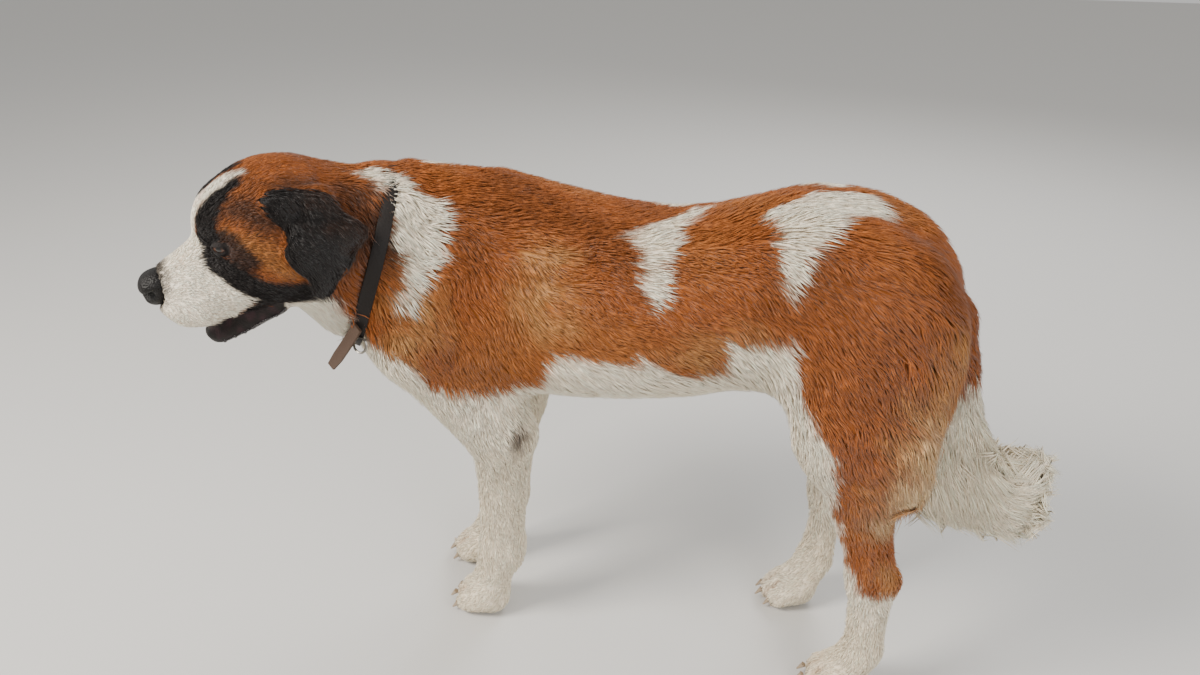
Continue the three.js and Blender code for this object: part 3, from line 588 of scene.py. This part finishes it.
# Leaner places on the hind legs: place (mm) on the left leg, reach and push (mm)
LEAN_PLACES = (((372, -104, 338), 42, -6), ((394, -102, 262), 28, -11))


def toe_gaps(stance):
    """1 in the grooves between the toes, 0 on the toes and away from the paws."""
    gaps = np.zeros(len(stance))
    for x, y, turn, size in PAWS:
        turn = math.radians(turn) * (1 if y < 0 else -1)
        offset = stance * 1000 - (x, y, 0)
        ahead = (-offset[:, 0] * math.cos(turn) + offset[:, 1] * math.sin(turn)) / size
        out = (-offset[:, 0] * math.sin(turn) - offset[:, 1] * math.cos(turn)) / size
        close = np.clip((ahead - 6) / 18, 0, 1) * np.clip((58 - offset[:, 2]) / 16, 0, 1)
        close *= (np.abs(out) < 60) * (ahead < 90)
        for gap in TOE_GAPS:
            middle = gap * np.clip(0.6 + ahead / 90, 0.5, 1.15)
            gaps = np.maximum(gaps, close * np.exp(-((out - middle) / 4.6) ** 2))
    return gaps


def sculpt_legs(points, normals):
    """Grooves between the toes, and lean hocks."""
    stance = points - STANCE
    push = -10.0 * toe_gaps(stance)
    for (x, y, z), reach, depth in LEAN_PLACES:
        for shift, side in ((0, 1), (-78, -1)):
            away = np.linalg.norm(stance * 1000 - (x + shift, y * side, z), axis=1) / reach
            push += depth * np.exp(-away ** 2)
    return points + normals * (push / 1000)[:, None]


def corners_of(fine):
    return np.array([vert.co for vert in fine.verts])


def split_edges(fine, chosen):
    """Halves each edge with both ends among the chosen corners, and keeps all faces triangles."""
    edges = [edge for edge in fine.edges if chosen[edge.verts[0].index] and chosen[edge.verts[1].index]]
    bmesh.ops.subdivide_edges(fine, edges=edges, cuts=1, use_grid_fill=True)
    bmesh.ops.triangulate(fine, faces=fine.faces)
    fine.verts.index_update()


def make_skin():
    """The skin: all flesh as one surface, inside it by the coat's depth, with face and toes drawn."""
    source = copy_of(FLESH + ["eye_left", "eye_right"], "flesh")
    points, normals = mesh_arrays(source)
    put_points(source, points + normals * FLESH_SWELL)
    skin = new_object("skin", source)
    remesh = skin.modifiers.new("one surface", "REMESH")
    remesh.mode = "VOXEL"
    remesh.voxel_size = VOXEL
    smooth = skin.modifiers.new("soft forms", "SMOOTH")
    smooth.factor = 0.5
    smooth.iterations = SMOOTHINGS
    mesh = apply_modifiers(skin)
    points, normals = mesh_arrays(mesh)
    depth = lie_at(points, normals)[2]
    put_points(mesh, points - normals * (depth * COAT_SHARE)[:, None])
    fine = bmesh.new()
    fine.from_mesh(mesh)
    bmesh.ops.triangulate(fine, faces=fine.faces)
    for reach in EYE_REACHES:
        offset = to_left(to_head(corners_of(fine))) - EYE_PLACE
        split_edges(fine, np.linalg.norm(offset, axis=1) < reach)
    split_edges(fine, toe_gaps(corners_of(fine) - STANCE) > 0.01)
    fine.to_mesh(mesh)
    fine.free()
    points, normals = mesh_arrays(mesh)
    points = sculpt_legs(sculpt_head(points, normals), normals)
    put_points(mesh, from_head(lids(to_head(points))))
    points, normals = mesh_arrays(mesh)
    paint(mesh, skin_colour(points))
    mesh.shade_smooth()
    return finish_piece(skin, skin_material(), "coat_rust", *FLESH)


def skin_colour(points):
    """Markings under the coat, with black lids and lips."""
    colour = coat_colour(points)
    local = to_head(points)
    side = to_left(local)
    rim = np.linalg.norm(side - EYE_PLACE, axis=1) - 0.0185
    rim = np.maximum(rim, -((side - EYE_PLACE) @ np.array(EYE_LOOK)) + 0.004)
    return mix(colour, BLACK, step(rim, 0.004))


# Coat pieces: name, how close the tufts stand, a place on the piece's middle line (m) and slot
REGIONS = (
    ("head", 3.4, (0, 0, 0), "coat_rust"),
    ("neck", 1.2, (0, -0.09, 0.63), "coat_rust"),
    ("chest", 0.95, (0, -0.02, 0.57), "coat_rust"),
    ("barrel", 0.95, (0, 0, 0.57), "coat_rust"),
    ("croup", 1.0, (0, 0, 0.60), "coat_rust"),
    ("fore_left", 1.5, (-0.21, -0.08, 0), "coat_white"),
    ("fore_right", 1.5, (-0.25, 0.08, 0), "coat_white"),
    ("hind_left", 1.3, (0.31, -0.105, 0), "coat_rust"),
    ("hind_right", 1.3, (0.25, 0.105, 0), "coat_rust"),
    ("tail", 2.0, (0.46, -0.014, 0.42), "coat_white"),
)
HEAD, NECK, CHEST, BARREL, CROUP, FORE_LEFT, FORE_RIGHT, HIND_LEFT, HIND_RIGHT, TAIL = range(10)
CLOSENESS = np.array([region[1] for region in REGIONS])
MIDDLE_LINES = np.array([region[2] for region in REGIONS])
TUFTS_IN_PIECE, QUICK_TUFTS = 19000, 30000
TUFT_SIDES, TUFT_POINTS = 3, 7
# Shade of a tuft's points, darker at the root and lighter at the tip
TUFT_LIGHT = np.array((0.72, 0.72, 0.72, 1.0, 1.0, 1.0, 1.12))


def region_of(points):
    """The number of the coat piece that each point belongs to."""
    stance = points - STANCE
    x, y, z = stance.T
    left = y < 0
    region = np.select((x < -0.25, x < -0.06, x < 0.165), (NECK, CHEST, BARREL), CROUP)
    fore = (z < 0.43) & (x < -0.06)
    hind = (z < 0.50) & (x > 0.165)
    region = np.where(fore, np.where(left, FORE_LEFT, FORE_RIGHT), region)
    region = np.where(hind, np.where(left, HIND_LEFT, HIND_RIGHT), region)
    tail = (chain(stance, TAIL_LINE) < 0.01) & (x > 0.385) & (np.abs(y + 0.014) < 0.06)
    region = np.where(tail, TAIL, region)
    return np.where(head_share(points) > 0.5, HEAD, region)


def unwrap(points, regions):
    """A place on an unwrap of the skin: each region is a cylinder laid flat in its own strip."""
    stance = points - STANCE
    local = to_head(points)
    offset = stance - MIDDLE_LINES[regions]
    head, trunk, leg = regions == HEAD, regions <= CROUP, regions <= HIND_RIGHT
    along = np.select((head, trunk, leg), (local[:, 0] + 0.2, stance[:, 0] + 0.6, stance[:, 2]),
                      stance[:, 2] - 0.15)
    first = np.select((head, trunk), (local[:, 1], offset[:, 1]), offset[:, 0])
    second = np.select((head, trunk), (local[:, 2], offset[:, 2]), offset[:, 1])
    angle = np.arctan2(second, first) / (2 * math.pi) + 0.5
    strip = 0.1 * regions
    return np.stack((np.clip(along / 1.3, 0, 0.99), strip + 0.002 + angle * 0.092), axis=1)


def scatter(mesh, count, weight_of, seed):
    """Even random places on the mesh, closer together where the weight is higher."""
    rng = np.random.default_rng(seed)
    mesh.calc_loop_triangles()
    corners = np.empty(len(mesh.loop_triangles) * 3, np.int32)
    mesh.loop_triangles.foreach_get("vertices", corners)
    corners = corners.reshape(-1, 3)
    points, normals = mesh_arrays(mesh)
    a, b, c = (points[corners[:, i]] for i in range(3))
    area = np.linalg.norm(np.cross(b - a, c - a), axis=1) / 2
    chance = area * weight_of((a + b + c) / 3)
    picked = rng.choice(len(corners), size=count, p=chance / chance.sum())
    u, w = rng.random((2, count))
    flip = u + w > 1
    u, w = np.where(flip, 1 - u, u), np.where(flip, 1 - w, w)
    place = a[picked] + u[:, None] * (b - a)[picked] + w[:, None] * (c - a)[picked]
    na, nb, nc = (normals[corners[picked, i]] for i in range(3))
    normal = na + u[:, None] * (nb - na) + w[:, None] * (nc - na)
    return place, normal / np.linalg.norm(normal, axis=1)[:, None]


def press(tree, points):
    """The nearest place on the skin to each point, and the skin's normal there."""
    places = np.empty_like(points)
    normals = np.empty_like(points)
    for i, point in enumerate(points):
        place, normal, _, _ = tree.find_nearest(point)
        places[i] = place
        normals[i] = normal
    return places, normals


def tuft_arrays(tree, roots, normals, thick, seed):
    """Rows of rings from root to tip for all tufts: each lies along the skin and lifts to its tip."""
    rng = np.random.default_rng(seed)
    ways, lengths, depths = lie_at(roots, normals)
    count = len(roots)
    swirl = waves(roots, 0.05, 21) * 0.22 + rng.normal(0, 0.13, count)
    ways = ways * np.cos(swirl)[:, None] + np.cross(normals, ways) * np.sin(swirl)[:, None]
    lengths = lengths * rng.uniform(0.75, 1.2, count)
    lift = depths * rng.uniform(0.75, 1.1, count)
    rings = [(roots - normals * 0.0006, normals, ways)]
    place, normal, way = roots, normals, ways
    for share in (0.5, 1.0):
        ahead = place + way * (lengths * 0.5)[:, None]
        ground, normal = press(tree, ahead)
        rise = ahead - ground
        gap = np.linalg.norm(rise, axis=1) + 1e-9
        outside = np.sum(rise * normal, axis=1) > 0
        free = outside * np.clip(gap - 0.5 * lift, 0, 0.3 * lengths) / gap
        place = ground + rise * free[:, None]
        way = way - normal * np.sum(way * normal, axis=1)[:, None]
        way /= np.linalg.norm(way, axis=1)[:, None] + 1e-9
        rings.append((place + normal * (lift * share ** 0.7)[:, None], normal, way))
    half = thick * (0.8 + 14 * lengths) * rng.uniform(0.8, 1.25, count)
    return rings, half, rng.uniform(0.82, 1.18, count)


def build_tufts(name, rings, half, shade, roots, colours, regions, material, slot):
    """One coat piece: a three-sided lock for each tuft, closed at the root and the tip."""
    count = len(roots)
    points = np.empty((count, TUFT_POINTS, 3))
    for row, thickness in ((0, 1.0), (1, 0.75)):
        place, normal, way = rings[row]
        across = np.cross(normal, way)
        for side in range(TUFT_SIDES):
            turn = 2 * math.pi * side / TUFT_SIDES + math.pi / 2
            offset = across * math.cos(turn) + normal * 0.45 * math.sin(turn)
            points[:, row * TUFT_SIDES + side] = place + offset * (half * thickness)[:, None]
    points[:, -1] = rings[2][0]
    faces = [(0, 2, 1), (3, 4, 6), (4, 5, 6), (5, 3, 6)]
    for a, b in ((0, 1), (1, 2), (2, 0)):
        faces += [(a, b, b + 3), (a, b + 3, a + 3)]
    faces = np.array(faces)
    index = (faces[None] + TUFT_POINTS * np.arange(count)[:, None, None]).reshape(-1)
    mesh = bpy.data.meshes.new(name)
    mesh.vertices.add(count * TUFT_POINTS)
    mesh.loops.add(len(index))
    mesh.polygons.add(len(index) // 3)
    mesh.vertices.foreach_set("co", points.astype(np.float32).ravel())
    mesh.loops.foreach_set("vertex_index", index.astype(np.int32))
    mesh.polygons.foreach_set("loop_start", np.arange(0, len(index), 3, dtype=np.int32))
    mesh.update()
    mesh.validate()
    tint = colours[:, None, :] * (shade[:, None] * TUFT_LIGHT)[:, :, None]
    paint(mesh, np.clip(tint.reshape(-1, 3), 0, 1))
    patch = np.array([(s, r) for r in (0, 0.6) for s in (0, 0.5, 1)] + [(0.5, 1)]) * 0.003
    spread = (unwrap(roots, regions)[:, None, :] + patch[None]).reshape(-1, 2)
    layer = mesh.uv_layers.new(name="OFBake")
    layer.data.foreach_set("uv", spread[index].astype(np.float32).ravel())
    mesh.shade_smooth()
    return finish_piece(new_object(name, mesh), material, slot)


def bare_places(points):
    """Where no hair grows: the eyes' openings, the nose, the lips, the mouth and the soles."""
    local = to_head(points)
    x, y, z = local.T
    side = to_left(local)
    _, ahead, along, across = slit_offsets(local)
    eye = ((along / 0.0150) ** 2 + (across / 0.0085) ** 2 < 1) & (ahead > 0) & (ahead < 0.03)
    nose = np.linalg.norm((side - (0.132, 0, 0.001)) / (1, 1.25, 1.05), axis=1) < 0.0232
    mouth = (z < -0.060) & (x > 0.0) & (np.abs(y) < 0.026)
    jaw = (z < -0.066) & (x > -0.008) & (x < 0.2)
    return eye | nose | mouth | jaw | (points[:, 2] < 0.006)


def make_coat(skin, tuft_count, tuft_width):
    """Grows the tufts over the skin and joins them into one or more pieces per region."""
    tree = tree_of(skin.data)

    def weight(points):
        return CLOSENESS[region_of(points)] * ~bare_places(points)

    count = tuft_count
    roots, normals = scatter(skin.data, count, weight, 11)
    rings, half, shade = tuft_arrays(tree, roots, normals, tuft_width, 12)
    regions = region_of(roots)
    colours = coat_colour(roots)
    material = hair_material()
    pieces = []
    for number, (name, _, _, slot) in enumerate(REGIONS):
        chosen = np.flatnonzero(regions == number)
        for part in range(0, len(chosen), TUFTS_IN_PIECE):
            picked = chosen[part:part + TUFTS_IN_PIECE]
            cut_rings = [tuple(rows[picked] for rows in ring) for ring in rings]
            label = f"coat_{name}" if part == 0 else f"coat_{name}_{part // TUFTS_IN_PIECE + 1}"
            pieces.append(build_tufts(label, cut_rings, half[picked], shade[picked], roots[picked],
                                      colours[picked], regions[picked], material, slot))
    return pieces


# Eyes, nose, mouth, claws and collar
EYE_RADIUS = 0.0136
# Angles from the middle of the pupil (degrees)
PUPIL_ANGLE, CORNEA_ANGLE, IRIS_ANGLE = 17, 38, 40
NOSE_RADII = (0.0220, 0.0280, 0.0232)
LIP_BEADS = 34
NOSTRIL = ((20, 11, -1, 2.6), (17, 20, -5, 2.2), (7, 28, -2, 1.0))


def eye_piece(word, side):
    """One eyeball, with its pupil, its streaked iris and the bulge of its cornea."""
    mesh, points = ball_mesh("eye_" + word, bmesh.ops.create_uvsphere,
                             u_segments=40, v_segments=28, radius=EYE_RADIUS)
    outward = points[:, 2] / EYE_RADIUS
    angle = np.degrees(np.arccos(np.clip(outward, -1, 1)))
    streak = 0.5 + 0.5 * np.sin(np.arctan2(points[:, 1], points[:, 0]) * 23)
    iris = mix(linear("#3a1e0c"), linear("#6a3a18"), streak[:, None] * 0.5)
    colour = np.where(angle[:, None] < PUPIL_ANGLE, linear("#050403"), iris)
    colour = np.where(angle[:, None] > IRIS_ANGLE, linear("#140d0a"), colour)
    cornea = 1 + 0.05 * np.cos(np.radians(angle / CORNEA_ANGLE * 90))
    bulge = np.where(angle < CORNEA_ANGLE, cornea, 1)
    look = Vector((EYE_LOOK[0], EYE_LOOK[1] * side, EYE_LOOK[2]))
    turn = np.array(look.to_track_quat("Z", "Y").to_matrix())
    put_points(mesh, from_head((points * bulge[:, None]) @ turn.T + EYE_PLACE * (1, side, 1)))
    paint(mesh, colour)
    mesh.shade_smooth()
    material, tree, shader = new_material("wet_eye_" + word, {
        "Roughness": 0.06, "Coat Weight": 1.0, "Coat Roughness": 0.02, "IOR": 1.38,
    })
    show_marking(tree, shader)
    return finish_piece(new_object("eye_" + word + "_globe", mesh), material, "eye", "eye_" + word)


def nose_piece():
    """The nose leather: a broad pad with a groove down its middle and two comma nostrils."""
    mesh, points = ball_mesh("nose_leather", bmesh.ops.create_icosphere, subdivisions=5, radius=1.0)
    shape = np.sign(points) * np.abs(points) ** 0.8 * NOSE_RADII
    shape[:, 1] *= 1 + 0.25 * np.clip(shape[:, 2] / NOSE_RADII[2], -1, 0.3)
    side = to_left(shape)
    nostril = chain(side, NOSTRIL)
    groove = np.abs(shape[:, 1]) + np.clip(shape[:, 2] - 0.004, 0, 1)
    deep = 0.0105 * np.exp(-(np.clip(nostril, 0, 1) / 0.0036) ** 2)
    deep += 0.0013 * np.exp(-(groove / 0.0012) ** 2) * (points[:, 0] > 0)
    shape -= points * deep[:, None]
    put_points(mesh, from_head(shape + (0.1305, 0, 0.001)))
    mesh.shade_smooth()
    material = bare_material("pebbled_nose_leather", "#0e0b0a", 0.5, 420.0, 0.0014, Specular_IOR_Level=0.3)
    return finish_piece(new_object("nose_leather", mesh), material, "nose", "nose")


def tongue_piece():
    """The tongue lies behind the lower lip and fills the dark of the mouth."""
    mesh, points = ball_mesh("tongue_tip", bmesh.ops.create_uvsphere,
                             u_segments=28, v_segments=16, radius=1.0)
    shape = points * (0.050, 0.021, 0.0055)
    shape[:, 2] -= 0.004 * np.exp(-(shape[:, 1] / 0.004) ** 2)
    put_points(mesh, from_head(shape + (0.052, 0, -0.066)))
    mesh.shade_smooth()
    material = bare_material("wet_tongue", "#a9565c", 0.35, 500.0, 0.0005, Coat_Weight=0.3)
    return finish_piece(new_object("tongue_tip", mesh), material, "tongue", "tongue")


def strap_piece(colour):
    """The collar: it stands on the throat's hair and sinks under the hair of the nape."""
    mesh = copy_of(("collar_strap",), "strap")
    points, _ = mesh_arrays(mesh)
    middle = points.mean(axis=0)
    inward = middle - points
    inward /= np.linalg.norm(inward, axis=1)[:, None]
    sunk = np.interp(points[:, 2], (0.56, 0.68, 0.75), (-0.0050, -0.0020, 0.0060))
    put_points(mesh, points + inward * sunk[:, None])
    piece = new_object("strap", mesh)
    bevel = piece.modifiers.new("worn edge", "BEVEL")
    bevel.width = 0.0008
    bevel.segments = 2
    mesh = apply_modifiers(piece)
    mesh.shade_smooth()
    leather = bare_material("worn_dark_leather", colour, 0.62, 260.0, 0.0006, Specular_IOR_Level=0.3)
    return finish_piece(piece, leather, "leather_dark", "collar_strap")


def lip_fringe(skin):
    """The wet, notched rim of the lower lip: a row of small beads on each side."""
    tree = tree_of(skin.data)
    beads = bmesh.new()
    for side in (-1, 1):
        for number in range(LIP_BEADS):
            share = number / (LIP_BEADS - 1)
            start = np.array(((-8 + 96 * share, (66 - 30 * share) * side, -96 - 10 * share),)) / 1000
            place, normal, _, _ = tree.find_nearest(Vector(from_head(start)[0]))
            size = 0.0019 + 0.0010 * math.sin(2.4 * number) * math.sin(5.1 * number)
            spot = Matrix.Translation(place + normal * 0.0004) @ Matrix.Diagonal((size, size, size, 1))
            bmesh.ops.create_icosphere(beads, subdivisions=2, radius=1.0, matrix=spot)
    rim = bpy.data.meshes.new("lip_beads")
    beads.to_mesh(rim)
    beads.free()
    rim.shade_smooth()
    material = bare_material("wet_black_lip", "#1c1213", 0.22, 600.0, 0.0003, Coat_Weight=0.8)
    return finish_piece(new_object("lip_beads", rim), material, "lip")


def dress_nodes():
    """Gives the CAD claws and the rest of the collar their horn, leather and steel."""
    horn = bare_material("pale_horn", "#a08d76", 0.4, 60.0, 0.0003)
    brown = bare_material("worn_brown_leather", "#4b3729", 0.6, 260.0, 0.0006)
    steel = bare_material("bent_steel_wire", "#8f8b83", 0.35, 90.0, 0.0001, Metallic=1.0)
    looks = {"claw": horn, "collar_end": brown, "collar_ring": steel}
    for name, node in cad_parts.items():
        for start, material in looks.items():
            if name.startswith(start):
                node.data.materials.clear()
                node.data.materials.append(material)


# Stage
CAMERA_PLACE = np.array((0.253, -1.199, 1.115))
CAMERA_YAW, CAMERA_PITCH, CAMERA_LENS = 15.16, 26.4, 28.5
FLOOR_HALF = 9.0
ROOM_COLOUR, ROOM_STRENGTH = (0.96, 0.95, 0.93, 1), 0.62
AIM = Vector((0, 0, 0.4))
WARM, NEUTRAL = (1.0, 0.95, 0.88), (1, 1, 1)
# Soft lamps: name, place, width, power (the key's is a setting) and colour
KEY_LAMP = ("key", (-1.9, -1.6, 2.6), 1.2)
OTHER_LAMPS = (("fill", (2.2, -2.0, 1.8), 2.2, 55, NEUTRAL), ("rim", (0.6, 2.4, 2.4), 1.6, 50, NEUTRAL))


def add_lamp(name, place, size, power, colour):
    lamp = bpy.data.lights.new(name, "AREA")
    lamp.energy = power
    lamp.size = size
    lamp.color = colour
    light = bpy.data.objects.new(name, lamp)
    light.location = place
    light.rotation_euler = (AIM - Vector(place)).to_track_quat("-Z", "Y").to_euler()
    bpy.context.scene.collection.objects.link(light)


def make_stage(floor_colour, key_power):
    """A pale floor, a soft room with three lamps, and the camera with the photo's framing."""
    mesh = bpy.data.meshes.new("floor")
    corners = [(x * FLOOR_HALF, y * FLOOR_HALF, 0) for x, y in ((-1, -1), (1, -1), (1, 1), (-1, 1))]
    mesh.from_pydata(corners, [], [(0, 1, 2, 3)])
    floor = new_object("floor", mesh)
    material, _, _ = new_material("pale_floor", {"Base Color": (*floor_colour, 1.0), "Roughness": 0.9})
    mesh.materials.append(material)
    world = bpy.data.worlds.new("soft_room")
    world.use_nodes = True
    background = world.node_tree.nodes["Background"]
    background.inputs["Color"].default_value = ROOM_COLOUR
    background.inputs["Strength"].default_value = ROOM_STRENGTH
    bpy.context.scene.world = world
    for lamp in ((*KEY_LAMP, key_power, WARM), *OTHER_LAMPS):
        add_lamp(*lamp)
    camera = bpy.data.objects.new("camera", bpy.data.cameras.new("camera"))
    camera.data.lens = CAMERA_LENS
    camera.data.sensor_width = 36
    camera.location = Vector(CAMERA_PLACE + STANCE)
    camera.rotation_euler = (math.radians(90 - CAMERA_PITCH), 0, math.radians(CAMERA_YAW))
    bpy.context.scene.collection.objects.link(camera)
    bpy.context.scene.camera = camera


# Panel and operators
class DogSettings(bpy.types.PropertyGroup):
    """Sizes and colours that a user would change."""
    tuft_count: bpy.props.IntProperty(
        name="Tufts", description="Number of hair tufts in the whole coat", default=142000,
        min=1000, max=145000)
    tuft_width: bpy.props.FloatProperty(
        name="Tuft width", description="Width of a tuft at its root", default=0.00095,
        min=0.0004, max=0.004, unit="LENGTH")
    strap_colour: bpy.props.FloatVectorProperty(
        name="Strap", description="Colour of the collar's leather", default=tuple(linear("#17110e")),
        subtype="COLOR", size=3, min=0, max=1)
    key_power: bpy.props.FloatProperty(
        name="Key light", description="Power of the key light", default=150.0, min=0.0,
        unit="POWER")
    floor_colour: bpy.props.FloatVectorProperty(
        name="Floor", description="Colour of the floor", default=(0.62, 0.61, 0.59),
        subtype="COLOR", size=3, min=0, max=1)


class DOG_OT_skin(bpy.types.Operator):
    """Draws one skin over all the flesh"""
    bl_idname = "dog.skin"
    bl_label = "Skin"

    def execute(self, context):
        make_skin()
        return {"FINISHED"}


class DOG_OT_coat(bpy.types.Operator):
    """Grows the coat in tufts on the skin"""
    bl_idname = "dog.coat"
    bl_label = "Coat"

    def execute(self, context):
        make_coat(bpy.data.objects["skin"], context.scene.dog.tuft_count, context.scene.dog.tuft_width)
        return {"FINISHED"}


class DOG_OT_eyes(bpy.types.Operator):
    """Makes both eyes"""
    bl_idname = "dog.eyes"
    bl_label = "Eyes"

    def execute(self, context):
        for word, side in (("left", 1), ("right", -1)):
            eye_piece(word, side)
        return {"FINISHED"}


class DOG_OT_mouth(bpy.types.Operator):
    """Makes the nose, the tongue and the rim of the lower lip"""
    bl_idname = "dog.mouth"
    bl_label = "Nose and mouth"

    def execute(self, context):
        nose_piece()
        tongue_piece()
        lip_fringe(bpy.data.objects["skin"])
        return {"FINISHED"}


class DOG_OT_trim(bpy.types.Operator):
    """Gives the claws and the collar their materials"""
    bl_idname = "dog.trim"
    bl_label = "Claws and collar"

    def execute(self, context):
        strap_piece(context.scene.dog.strap_colour)
        dress_nodes()
        return {"FINISHED"}


class DOG_OT_stage(bpy.types.Operator):
    """Sets up the floor, the lights and the camera"""
    bl_idname = "dog.stage"
    bl_label = "Stage"

    def execute(self, context):
        make_stage(context.scene.dog.floor_colour, context.scene.dog.key_power)
        return {"FINISHED"}


class DOG_PT_panel(bpy.types.Panel):
    """Shows the settings and the steps that build the dog"""
    bl_label = "Dog"
    bl_space_type = "VIEW_3D"
    bl_region_type = "UI"
    bl_category = "Dog"

    def draw(self, context):
        for name in DogSettings.__annotations__:
            self.layout.prop(context.scene.dog, name)
        for operator in OPERATORS:
            self.layout.operator(operator.bl_idname)


OPERATORS = (DOG_OT_skin, DOG_OT_coat, DOG_OT_eyes, DOG_OT_mouth, DOG_OT_trim, DOG_OT_stage)
CLASSES = (DogSettings, *OPERATORS, DOG_PT_panel)


def register():
    for item in CLASSES:
        bpy.utils.register_class(item)
    bpy.types.Scene.dog = bpy.props.PointerProperty(type=DogSettings)


def unregister():
    del bpy.types.Scene.dog
    for item in reversed(CLASSES):
        bpy.utils.unregister_class(item)


def main():
    register()
    bpy.ops.dog.skin()
    bpy.ops.dog.coat()
    bpy.ops.dog.eyes()
    bpy.ops.dog.mouth()
    bpy.ops.dog.trim()
    bpy.ops.dog.stage()


if __name__ == "__main__":
    main()
